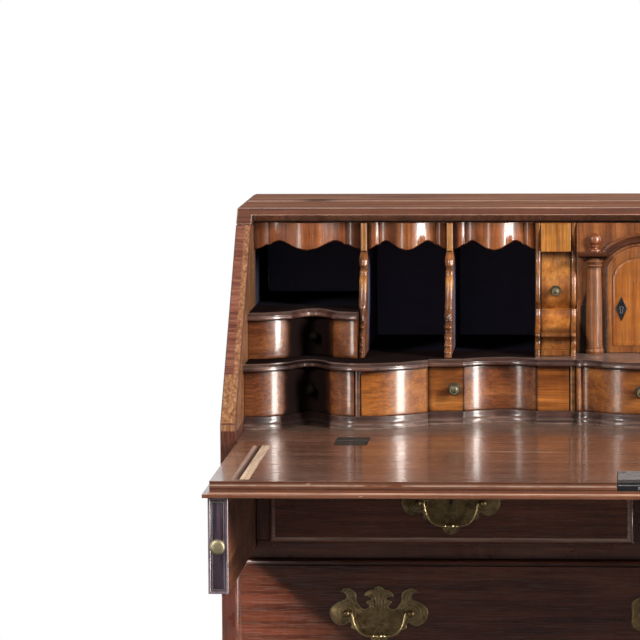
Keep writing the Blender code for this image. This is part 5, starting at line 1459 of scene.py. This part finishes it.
# Bottom edge of a valance over half a bay: share of the bay, share of the drop
VALANCE_SHARES = (
    (0.00, 1.00), (0.04, 0.96), (0.085, 0.88), (0.12, 0.82), (0.145, 0.83), (0.18, 0.74),
    (0.225, 0.68), (0.27, 0.69), (0.33, 0.79), (0.41, 0.93), (0.50, 1.00),
)


def lobes(share):
    """How far a valance swells forward across a bay: 3 mm sin(pi u) on a small lobe at each end,
    and 13.8 mm sin^2(pi u) between them, so that the wide lobe has hollow flanks."""
    edges = np.array([0.0, 0.14, 0.86, 1.0])
    lobe = np.clip(np.searchsorted(edges, share, side="right") - 1, 0, 2)
    u = np.clip((share - edges[lobe]) / (edges[lobe + 1] - edges[lobe]), 0, 1)
    return np.where(lobe == 1, 0.0138 * np.sin(math.pi * u) ** 2, 0.0030 * np.sin(math.pi * u))


def valances():
    """The scalloped strips over the pigeonholes, their faces swelling in three lobes to a bay."""
    bays = (
        (DOCUMENT_OUTER + 0.0038, INNER_DIVIDER - 0.0043),
        (INNER_DIVIDER + 0.0043, OUTER_DIVIDER - 0.0043),
        (OUTER_DIVIDER + 0.0043, HALF_INSIDE - GAP),
    )
    meets = (0.137, 0.14, 0.143, 0.857, 0.86, 0.863)
    share = np.unique(np.concatenate([np.linspace(0, 1, 141), meets]))
    aside = np.minimum(share, 1 - share)
    curve = smooth(VALANCE_SHARES, 5)
    bottom = UNDERSIDE - HEAD_DROP * np.interp(aside, curve[:, 0], curve[:, 1])
    front = 0.2535 - lobes(share)
    top, rear = np.full_like(bottom, UNDERSIDE - GAP), np.full_like(front, HEAD_BACK)
    middle = bottom + 0.5 * (top - bottom)
    heights = np.stack([top, middle, bottom + 0.0012, bottom, bottom, top], axis=1)
    depths = np.stack([front, front, front, front + 0.0010, rear, rear], axis=1)
    # Painted shade where the lobes meet and at the ends beside the dividers, and darker along the
    # top and bottom edges.
    groove = 0.7 * np.exp(-(np.abs(aside - 0.14) / 0.012))
    ends = 0.5 * np.exp(-aside / 0.02)
    grime = np.maximum(groove, ends)[:, None] + 0.25 * np.array([1, 0, 0.4, 0.6, 0, 0])
    marks = {"grime": grime.clip(0, 0.9), "golden": 0.35 * bell(share, 0.5, 0.16)[:, None]}
    for word, side in SIDES:
        strips = [
            solid((side * (start + (end - start) * share))[:, None], at(depths), heights, **marks)
            for start, end in bays
        ]
        piece(f"valance_{word}_scallops", strips, VALANCE_WOOD, stands_for=("valance_" + word,),
              slot="carcase", crease=34)


# Carving of a divider's front below its square head: share of the way down, share of a bead
CARVING_SHARES = (
    (0.00, 0.05), (0.03, 0.45), (0.085, 1.00), (0.135, 0.75), (0.166, 0.08), (0.178, 0.10),
    (0.200, 0.50), (0.230, 0.32), (0.260, 0.48), (0.31, 0.55), (0.45, 0.50), (0.54, 0.62),
    (0.556, 0.36), (0.605, 0.88), (0.655, 0.55), (0.678, 0.12), (0.715, 0.85), (0.755, 0.15),
    (0.81, 0.70), (0.855, 0.25), (0.885, 0.68), (0.915, 0.22), (0.95, 0.62), (0.975, 0.28),
    (1.00, 0.50),
)


def carved_nose(top, foot):
    """The half-round front of a divider about its middle: beads, leaves, flutes and buds down a
    line that rakes forward to its foot. Gives its points, its painted shade in the cuts, flutes and
    notches, darker towards the foot, and its golden tone."""
    down = np.linspace(0, 1, 150)
    curve = smooth(CARVING_SHARES, 6)
    bud = np.interp(down, curve[:, 0], curve[:, 1])
    line = 0.2465 + (0.1860 - 0.2465) * down
    height = top - (top - foot) * down
    angle = np.linspace(-math.pi / 2, math.pi / 2, 25)
    half = 0.0037 + 0.0022 * bud
    leaf = bell(down, 0.608, 0.052, 6) + 0.5 * bell(down, 0.81, 0.035, 4)
    leaf = (leaf + 0.35 * bell(down, 0.195, 0.02, 4))[:, None]
    cut = np.cos(2 * math.pi * (down[:, None] * 26 + 0.36 * np.abs(angle))).clip(0) ** 3
    flutes = 0.5 * bell(down, 0.085, 0.055, 4) + 0.25 * bell(down, 0.40, 0.13, 6)
    flutes = flutes[:, None]
    keel = bell(angle, 0, 0.16)
    grooved = bell(np.abs(angle), 0.55, 0.14)
    relief = 1 - 0.16 * leaf * cut * (1 - keel) + 0.06 * (leaf + flutes) * keel
    relief = relief - 0.12 * flutes * grooved
    aside = half[:, None] * np.sin(angle) * relief
    depth = line[:, None] - (0.0005 + 0.0060 * bud)[:, None] * np.cos(angle) * relief
    aside = np.concatenate([aside, np.stack([half, -half], axis=1)], axis=1)
    depth = np.concatenate([depth, np.stack([line, line], axis=1) + 0.003], axis=1)
    nose = np.stack(np.broadcast_arrays(aside, at(depth), height[:, None]), axis=-1)
    dark = 0.45 * leaf * cut + 0.55 * flutes * grooved + 0.75 * (1 - bud)[:, None] ** 4
    dark = (dark + 0.25 * down[:, None] ** 2) * np.ones(25)
    shade = np.concatenate([dark, np.full((150, 2), 0.6)], axis=1).clip(0, 0.85)
    tone = (0.12 + 0.75 * bell(down, 0.30, 0.07))[:, None]
    return nose, shade, tone


def square_head(middle, low, high):
    """The square top of a divider's front, with rounded corners."""
    angle = np.linspace(-math.pi / 2, math.pi / 2, 25)
    depth = FACE_DEPTH + 0.0018 * (1 - np.cos(angle))
    front = np.stack([0.0040 * np.sin(angle), at(depth)], axis=1)
    ring = np.vstack([front, [(0.0040, at(HEAD_BACK)), (-0.0040, at(HEAD_BACK))]]) + (middle, 0)
    # Painted shade where the rounded front turns to the sides.
    grime = np.append(0.55 * np.sin(angle) ** 4, (0.5, 0.5))
    return prism(ring, "plan", low, high, golden=0.55, grime=grime)


def dividers():
    """The carved dividers: a board, a square head, and below it the carved nose, slimmer on the
    outer ones where the upper side drawers run beside it."""
    top, foot = UNDERSIDE - GAP, SHELF_TOP + GAP
    head, rear = top - HEAD_DROP, at(INNER_BACK - GAP)
    nose, shade, tone = carved_nose(head, foot)
    outline = [
        (rear, top), (at(0.2645), top), (at(0.2645), head), (at(0.2475), head), (at(0.1872), foot),
        (rear, foot),
    ]
    for name, middle in (("outer", OUTER_DIVIDER), ("inner", INNER_DIVIDER)):
        slim = 0.34 * np.clip((0.9000 - nose[..., 2:]) / 0.005, 0, 1) * (name == "outer")
        for word, side in SIDES:
            whole = side * middle
            plain = prism(outline, "side", whole - WALL_HALF, whole + WALL_HALF)
            divider = f"divider_{name}_{word}"
            piece(divider + "_board", [plain], INSIDE_DEEP, slot="interior", ease=0.0004)
            x, y, z = np.moveaxis(nose, -1, 0)
            x = x * (1 - slim[..., 0]) + whole
            carved = solid(x, y, z, grime=shade, golden=tone)
            piece(divider + "_carving", [carved, square_head(whole, head, top)], INSIDE_UPRIGHT,
                  stands_for=(divider,), slot="interior", crease=48)


def shaped_front():
    """Depth and height down a document drawer's front: a cyma, a crease, a swelling, a fillet, a
    cove and a plinth, each drawn smooth by itself."""
    runs = (
        ((0.00, -0.25), (0.08, -0.24), (0.18, -0.10), (0.28, 0.04), (0.38, 0.10), (0.48, 0.06),
         (0.56, -0.08)),
        ((0.566, 0.02), (0.64, 0.10), (0.72, 0.34), (0.775, 0.60)),
        ((0.785, 0.70), (0.80, 0.72), (0.815, 0.70)),
        ((0.825, 0.52), (0.88, 0.46), (0.935, 0.60)),
        ((0.945, 0.78), (1.00, 0.78)),
    )
    shares = np.vstack([smooth(run, 7) for run in runs])
    top, foot = UNDERSIDE - CASE_HEAD, SHELF_TOP + GAP
    return FACE_DEPTH - CASE_SWELL * shares[:, 1], top - (top - foot) * shares[:, 0]


def case_wall(middle, depth, height):
    """A wall of a document case, whose rounded front edge follows these depths and heights."""
    angle = np.linspace(-math.pi / 2, math.pi / 2, 13)
    inward = 0.0030 * (1 - np.cos(angle))
    back = np.full((len(depth), 2), INNER_BACK - GAP)
    depth = np.concatenate([depth[:, None] + inward, back], axis=1)
    place = middle + np.append(0.0035 * np.sin(angle), (0.0035, -0.0035))
    # Painted shade where the rounded edge turns to the sides, and on the back.
    grime = np.append(0.95 * np.sin(angle) ** 8, (0.9, 0.9))
    return solid(place, at(depth), height[:, None], golden=0.35, grime=grime)


def document_cases():
    """The upright drawers beside the prospect, between walls whose rounded edges follow their
    shape."""
    depth, height = shaped_front()
    top, under = UNDERSIDE - GAP, UNDERSIDE - CASE_HEAD
    wall_depth = np.append(FACE_DEPTH, depth - 0.0015)
    wall_height = np.append(top, height)
    low, high = SHELF_TOP + 2 * GAP, under - RUNNING
    hollow = FACE_DEPTH + CASE_SWELL * 0.25 + 0.008
    face = list(zip(at(depth), height.clip(low, high)))
    outline = np.array([(at(hollow), high), *face, (at(hollow), low)])
    up = outline[:, 1]
    # Painted shade under the block and in a line at the fillet, and darker towards the foot.
    under_shade = 0.6 * np.exp(-(high - up) / 0.0045) + 0.55 * bell(up, 0.8685, 0.005)
    under_shade = under_shade + 0.42 * np.clip((0.874 - up) / 0.02, 0, 1)
    tone = 0.75 * bell(up, 0.945, 0.018)
    for word, side in SIDES:
        walls = [
            case_wall(side * middle, wall_depth, wall_height)
            for middle in (DOCUMENT_OUTER, DOCUMENT_INNER)
        ]
        case = "document_case_" + word
        piece(case + "_walls", walls, INSIDE_UPRIGHT, stands_for=(case,), slot="interior",
              crease=40)
        xs = sorted((side * (DOCUMENT_INNER + 0.0035), side * (DOCUMENT_OUTER - 0.0035)))
        outer, inner, _ = board(xs, (at(FACE_DEPTH + 0.0012), at(FACE_DEPTH + 0.030)), (under, top))
        block = (outer, inner, {"golden": np.full(8, 0.9)})
        piece(f"document_block_{word}", [block], PANEL_WOOD, slot="panel", ease=0.0006,
              arris=ARRIS_GOLD)

        name = "document_drawer_" + word
        start, end = xs[0] + RUNNING, xs[1] - RUNNING
        places = np.linspace(start, end, 21)[:, None]
        away = (places - side * CASE_MIDDLE) / 0.0135
        # Hand dirt round the knob, and painted shade at the drawer's ends beside the walls.
        smudge = 0.7 * np.exp(-(away**2) - ((up - 0.9164) / 0.0052) ** 2)
        sides = 0.6 * np.exp(-np.minimum(places - start, end - places) / 0.0012)
        grime = np.clip(smudge + under_shade + sides, 0, 0.9)
        front = prism(outline, "side", start, end, 21, grime=grime, golden=tone)
        piece(f"{name}_front", [front], PANEL_WOOD, name, stands_for=(name,), slot="panel",
              ease=0.0005, arris=ARRIS_GOLD, crease=32)
        thin_linings(name, start, end, hollow, low, high)
        knob_depth = FACE_DEPTH - CASE_SWELL * 0.10
        knob(f"{name}_knob", name, side * CASE_MIDDLE, knob_depth, CASE_KNOB, 0.0066, 0.0135)


# Prospect
DOOR_HALF = 0.0427
DOOR_SPRING = 0.9398
DOOR_RISE = 0.0315


def arch(half, spring, rise, steps=33):
    """An arc over an opening: radius (h^2 + r^2) / 2r, from its right spring to its left one."""
    radius = (half**2 + rise**2) / (2 * rise)
    angle = math.asin(half / radius) * np.linspace(1, -1, steps)
    return np.stack([radius * np.sin(angle), spring + rise + radius * (np.cos(angle) - 1)], axis=1)


def basket_arch(half, spring, rise, steps=33):
    """Half an ellipse over an opening, from its right spring to its left one."""
    angle = np.linspace(0, math.pi, steps)
    return np.stack([half * np.cos(angle), spring + rise * np.sin(angle)], axis=1)


# Slabs over the columns: heights, and how far each level stands proud of the front
SLAB_LEVELS = (0.9572, 0.9574, 0.9590, 0.9594, 0.9606, 0.9624, 0.9640, 0.9647, 0.9650)
SLAB_PROUD = (0.0, 0.0095, 0.0100, 0.0118, 0.0126, 0.0128, 0.0140, 0.0142, 0.0)
# Darkening of each level of a slab: painted shade, darkest on its underside
SLAB_SHADE = (0.95, 0.95, 0.90, 0.40, 0.30, 0.25, 0.25, 0.15, 0.15)
SLAB_MIDDLE = 0.0590
DOOR_CLEAR = 0.0432  # the slabs stop here, clear of the opening door


def slab(side, near):
    """The moulded slab that carries the arch over one column."""
    levels, proud, dirt = (np.array(row)[:, None] for row in (SLAB_LEVELS, SLAB_PROUD, SLAB_SHADE))
    x = side * SLAB_MIDDLE + (0.0150 + 0.35 * proud) * np.array([-1, 1, 1, -1])
    x = np.where(np.abs(x) < DOOR_CLEAR, side * DOOR_CLEAR, x)
    y = near - proud * np.array([1, 1, 0, 0]) + 0.001 * np.array([0, 0, 1, 1])
    return solid(x, y, levels, grime=dirt)


def prospect():
    """The arched front between the document cases, with its little door, moulding and split
    columns."""
    half = DOCUMENT_INNER - 0.0038
    foot, top = SHELF_TOP + GAP, UNDERSIDE - GAP
    near = at(FACE_DEPTH)
    wide = DOOR_HALF + RUNNING
    opening = basket_arch(wide, DOOR_SPRING, DOOR_RISE)[::-1]
    outline = [
        (half, foot), (half, top), (-half, top), (-half, foot), (-wide, foot), *opening,
        (wide, foot),
    ]
    piece("prospect_front", [prism(outline, "front", near, near + 0.012)], FRAME_WOOD,
          stands_for=("prospect_frame",), slot="panel", ease=0.0004)

    path = upright(arch(0.0475, 0.9590, 0.0225, 41), near)
    cyma = [
        (-0.0062, 0.0016), (-0.0052, 0.0024), (-0.0030, 0.0018), (-0.0004, 0.0022),
        (0.0018, 0.0040),
    ]
    crown = [(0.0026, 0.0046), (0.0042, 0.0050), (0.0052, 0.0040), (0.0054, 0.0020)]
    cyma, crown = smooth(cyma, 4), smooth(crown, 4)
    section = np.vstack([[(-0.0062, -0.001)], cyma, crown, [(0.0054, -0.001)]]) * (-1, 1)
    shade = [0.8, *np.linspace(0.75, 0.40, len(cyma)), *np.full(len(crown), 0.22), 0.6]
    trim = [carried(section, path, grime=shade), slab(-1, near), slab(1, near)]
    piece("arch_moulding", trim, INSIDE_WOOD, slot="interior", crease=32)
    columns()
    door()


def profile_of(*runs):
    """A lathe profile of runs of points, each with its steps of smoothing, or 0 for straight
    lines."""
    return np.vstack([smooth(run, steps) if steps else run for steps, run in runs])


def columns():
    """Split columns: base rings, a shaft that tapers upward, necking beads, and a ball on the
    capital."""
    near, foot = at(FACE_DEPTH) - GAP, SHELF_TOP + GAP
    shaft = profile_of(
        (0, [(0.0, 0.0), (0.0114, 0.0)]),
        (4, [(0.0114, 0.0012), (0.0118, 0.0026), (0.0114, 0.0042)]),
        (4, [(0.0112, 0.0048), (0.0106, 0.0062), (0.0112, 0.0078)]),
        (6, [(0.0106, 0.0086), (0.0101, 0.0110), (0.0098, 0.040), (0.0091, 0.080),
             (0.0083, 0.1067)]),
        (4, [(0.0092, 0.1074), (0.0100, 0.1088), (0.0092, 0.1102)]),
        (0, [(0.0084, 0.1106), (0.0084, 0.1118)]),
        (4, [(0.0094, 0.1124), (0.0102, 0.1138), (0.0094, 0.1152)]),
        (0, [(0.0088, 0.1156), (0.0088, 0.1184), (0.0, 0.1184)]),
    )
    ball = profile_of(
        (0, [(0.0, 0.0), (0.0084, 0.0)]),
        (3, [(0.0086, 0.0008), (0.0080, 0.0022), (0.0060, 0.0028)]),
        (4, [(0.0046, 0.0034), (0.0042, 0.0044), (0.0050, 0.0054)]),
        (4, [(0.0060, 0.0058), (0.0062, 0.0066), (0.0052, 0.0073)]),
        (5, [(0.0054, 0.0080), (0.0074, 0.0104), (0.0084, 0.0140), (0.0076, 0.0178),
             (0.0048, 0.0208), (0.0, 0.0222)]),
    )
    up = shaft[:, 1:]
    # Painted shade on the shaft under the slab, in its necking grooves and at its foot, over a
    # slight even darkening.
    dirt = 0.15 + 0.85 * np.exp(-np.abs(up - 0.1184) / 0.0030) + 0.35 * np.exp(-up / 0.006)
    dirt = dirt + 0.5 * bell(up, 0.1106, 0.0010) + 0.4 * bell(up, 0.1070, 0.0010)
    half_turn = {"axis": UPWARDS, "steps": 30, "start": math.pi, "sweep": math.pi}
    for word, side in SIDES:
        centre = (side * 0.0588, near, foot)
        turning = turned(shaft, centre, golden=0.45, grime=dirt.clip(0, 0.9), **half_turn)
        finial = turned(ball, (side * 0.0584, near, 0.9650), grime=0.15, **half_turn)
        name = "column_" + word
        piece(name + "_ball", [finial], VALANCE_WOOD, slot="interior", crease=42)
        piece(name + "_turning", [turning], COLUMN_WOOD, stands_for=(name,), slot="interior",
              crease=42)


# Steps of the door's raised field from its edge inwards: inset, how far it stands proud, and its
# painted shade, darkest in the sunk edge by the frame
FIELD_STEPS = (
    (0.0, -0.0006, 0.75), (0.0006, 0.0004, 0.60), (0.0012, 0.0004, 0.25), (0.0022, 0.0008, 0.05),
    (0.0036, 0.0014, 0.0), (0.0042, 0.0015, 0.0),
)


def door():
    """The little door: stiles and an arched head, a raised tombstone field, and a diamond key
    plate."""
    body = "prospect_door"
    near, foot = at(FACE_DEPTH), SHELF_TOP + 2 * GAP
    head = basket_arch(DOOR_HALF, DOOR_SPRING - RUNNING, DOOR_RISE)
    leaf = [(DOOR_HALF, foot), *head, (-DOOR_HALF, foot)]
    leaf = prism(leaf, "front", near, near + 0.008, golden=0.3)
    piece("prospect_door_leaf", [leaf], FRAME_WOOD, body, stands_for=(body,), slot="panel",
          ease=0.0004)
    rings = []
    for inset, proud, _ in FIELD_STEPS:
        side, shoulder, low = 0.0368 - inset, 0.9362 - 0.5 * inset, foot + 0.0080 + inset
        tomb = basket_arch(0.0350 - inset, shoulder, 0.0214 - 0.5 * inset, 31)
        ring = np.vstack([[(side, low), (side, shoulder)], tomb, [(-side, shoulder), (-side, low)]])
        rings.append(upright(ring, near - proud))
    shade = np.array([dirt for _, _, dirt in FIELD_STEPS])[:, None]
    field = patch(np.stack(rings), wrap_columns=True, ends=True, grime=shade)
    piece("prospect_door_field", [field], PANEL_WOOD, body, slot="panel", crease=32)

    centre = np.array((0.0175 - DOOR_HALF, foot + 0.0547))
    hole = centre + (0, 0.001)
    diamond = np.array([(0.0071, 0.0), (0.0, 0.0150), (-0.0071, 0.0), (0.0, -0.0150)]) + centre
    place = (0, near - 0.0019, 0)
    outlines = [diamond, keyhole(hole, 0.0034)]
    plate("prospect_key_plate", outlines, 0.0009, 0.0002, place, LOCK_STEEL, body, "iron")
    shaded_keyhole("prospect_keyhole", hole, 0.0034, near - 0.0018, near - 0.0016, body)
    rim = bead(keyhole(hole, 0.0042), near - 0.0023, 0.00035)
    piece("prospect_key_rim", [rim], WORN_IRON, body, slot="iron")


# Floor, light and camera

ROOM_SEEN = 0.07
ROOM_LIGHT = 0.14
LAMP_COLOR = (1.0, 0.965, 0.92)
MIDDLE = (0, 0, 0.75)
# Name, azimuth from the front towards +X, elevation, distance, width, height, watts, whether it
# lights the room or only shows in polish, the point that it is aimed at, and how wide it spreads
LAMPS = (
    ("lamp_right", 60, 27, 3.2, 0.50, 1.5, 200, True, MIDDLE, 180),
    ("lamp_left", -42, 33, 3.4, 0.60, 1.2, 82, True, MIDDLE, 180),
    ("lamp_under_loper", -42, 33, 1.6, 0.16, 0.16, 0.36, True, (-0.47, -0.07, 0.50), 14),
    ("strip_right", 60, 1, 3.1, 0.50, 1.5, 105, False, MIDDLE, 180),
    ("strip_left", -42, 1, 3.3, 0.50, 1.5, 26, False, MIDDLE, 180),
)


def looked_at(made, behind):
    """What a ray is: its kinds, 1 for one that polish sends on, and 1 for one of the camera, or one
    that polish sends to a place behind the desk."""
    ray = made.add("ShaderNodeLightPath").outputs
    sent = made.most(ray["Is Glossy Ray"], ray["Is Transmission Ray"])
    return ray, sent, made.most(ray["Is Camera Ray"], made.times(sent, behind))


def room():
    """The world: white to the camera, white in polish only behind the desk, and dim as light."""
    world = bpy.data.worlds.new("studio")
    bpy.context.scene.world = world
    world.use_nodes = True
    made = Nodes(world.node_tree)
    made.tree.nodes.clear()
    direction = made.add("ShaderNodeTexCoord").outputs["Generated"]
    direction = made.add("ShaderNodeSeparateXYZ", {0: direction}).outputs["Y"]
    span = {
        "Value": direction, "From Min": -0.10, "From Max": 0.25, "To Min": ROOM_SEEN, "To Max": 1.0,
    }
    behind = made.add("ShaderNodeMapRange", span).outputs["Result"]
    ray, sent, seen = looked_at(made, behind)
    plain = made.sum("SUBTRACT", 1.0, made.most(ray["Is Camera Ray"], sent))
    strength = made.sum("ADD", seen, made.times(plain, ROOM_LIGHT))
    light = {"Color": (1, 1, 1, 1), "Strength": strength}
    light = made.add("ShaderNodeBackground", light).outputs[0]
    made.add("ShaderNodeOutputWorld", {"Surface": light})


def pale_floor():
    """A wide floor that turns to pure white away from the desk, and that polish sees only behind
    it."""
    floor = bpy.data.meshes.new("floor")
    ring = np.column_stack([oval((0, 0), 1, 1, 96), np.zeros(96)])
    points = np.stack([ring * size for size in (0.001, 4, 14, 40)])
    corners, faces, _ = patch(points, wrap_columns=True)
    floor.from_pydata(corners.tolist(), [], faces[0].tolist() + [list(range(96))])
    tidy(floor)
    obj = bpy.data.objects.new("floor", floor)
    bpy.context.scene.collection.objects.link(obj)
    made = Finish("pale_floor", Roughness=0.85)
    behind = made.add("ShaderNodeSeparateXYZ", {0: made.place}).outputs["Y"]
    behind = made.between(behind, -0.1, 0.6)
    ray, sent, looked = looked_at(made, behind)
    distance = made.add("ShaderNodeVectorMath", {0: made.place}, operation="LENGTH")
    distance = distance.outputs["Value"]
    speckle = made.noise(made.place, 220.0, detail=2)
    color = made.ramp(speckle, (0.3, (0.80, 0.80, 0.79)), (0.7, (0.84, 0.84, 0.83)))
    dimmed = made.times(sent, made.sum("SUBTRACT", 0.9, made.times(behind, 0.9)))
    dimmed = made.most(dimmed, made.times(ray["Is Diffuse Ray"], 0.55))
    made.wire(Base_Color=made.mix(dimmed, color, 0.0))
    glow = made.add("ShaderNodeEmission", {"Color": (1, 1, 1, 1), "Strength": 1.0}).outputs[0]
    share = made.times(looked, made.between(distance, 0.7, 3.0))
    mixed = made.add("ShaderNodeMixShader", {0: share, 1: made.shader.outputs[0], 2: glow})
    made.tree.links.new(mixed.outputs[0], made.tree.nodes["Material Output"].inputs["Surface"])
    floor.materials.append(made.material)


def lamps():
    """Two tall soft lamps on the right and the left of the front, with strips below them that only
    show in polish, and a small lamp on the side under the left loper."""
    for name, azimuth, elevation, distance, width, height, power, lights_up, aim, spread in LAMPS:
        lamp = bpy.data.lights.new(name, "AREA")
        lamp.shape = "RECTANGLE"
        lamp.size, lamp.size_y = width, height
        lamp.energy = power
        lamp.spread = math.radians(spread)
        lamp.color = LAMP_COLOR
        obj = bpy.data.objects.new(name, lamp)
        bpy.context.scene.collection.objects.link(obj)
        obj.visible_diffuse = lights_up
        a, e = math.radians(azimuth), math.radians(elevation)
        away = Vector((math.sin(a) * math.cos(e), -math.cos(a) * math.cos(e), math.sin(e)))
        obj.location = Vector(aim) + distance * away
        obj.rotation_euler = away.to_track_quat("Z", "Y").to_euler()
ROOM_LIGHT = 0.14

# Camera: place, direction, focal length in millimetres on a 36 mm frame, and roll
CAMERA_PLACE = (0.0008637, -5.013208, 1.422989)
CAMERA_LOOK = (-0.0767947, 1.0, -0.1045951)
CAMERA_LENS = 237.577
CAMERA_ROLL = -0.0071461


def camera():
    """The photograph's viewpoint: far off, a little above, looking to the left of the middle."""
    lens = bpy.data.cameras.new("camera")
    lens.lens = CAMERA_LENS
    lens.sensor_width = 36.0
    lens.clip_end = 100.0
    obj = bpy.data.objects.new("camera", lens)
    bpy.context.scene.collection.objects.link(obj)
    obj.location = CAMERA_PLACE
    turn = Vector(CAMERA_LOOK).to_track_quat("-Z", "Y").to_matrix()
    turn = turn @ Matrix.Rotation(CAMERA_ROLL, 3, "Z")
    obj.rotation_euler = turn.to_euler()
    bpy.context.scene.camera = obj


camera()
room()
lamps()
pale_floor()
carcase()
back_boards()
bracket_base()
hinges()
fall()
lopers()
outside_drawers()
interior_shelves()
inside_drawers()
valances()
dividers()
document_cases()
prospect()
bpy.context.scene.view_settings.view_transform = "Standard"
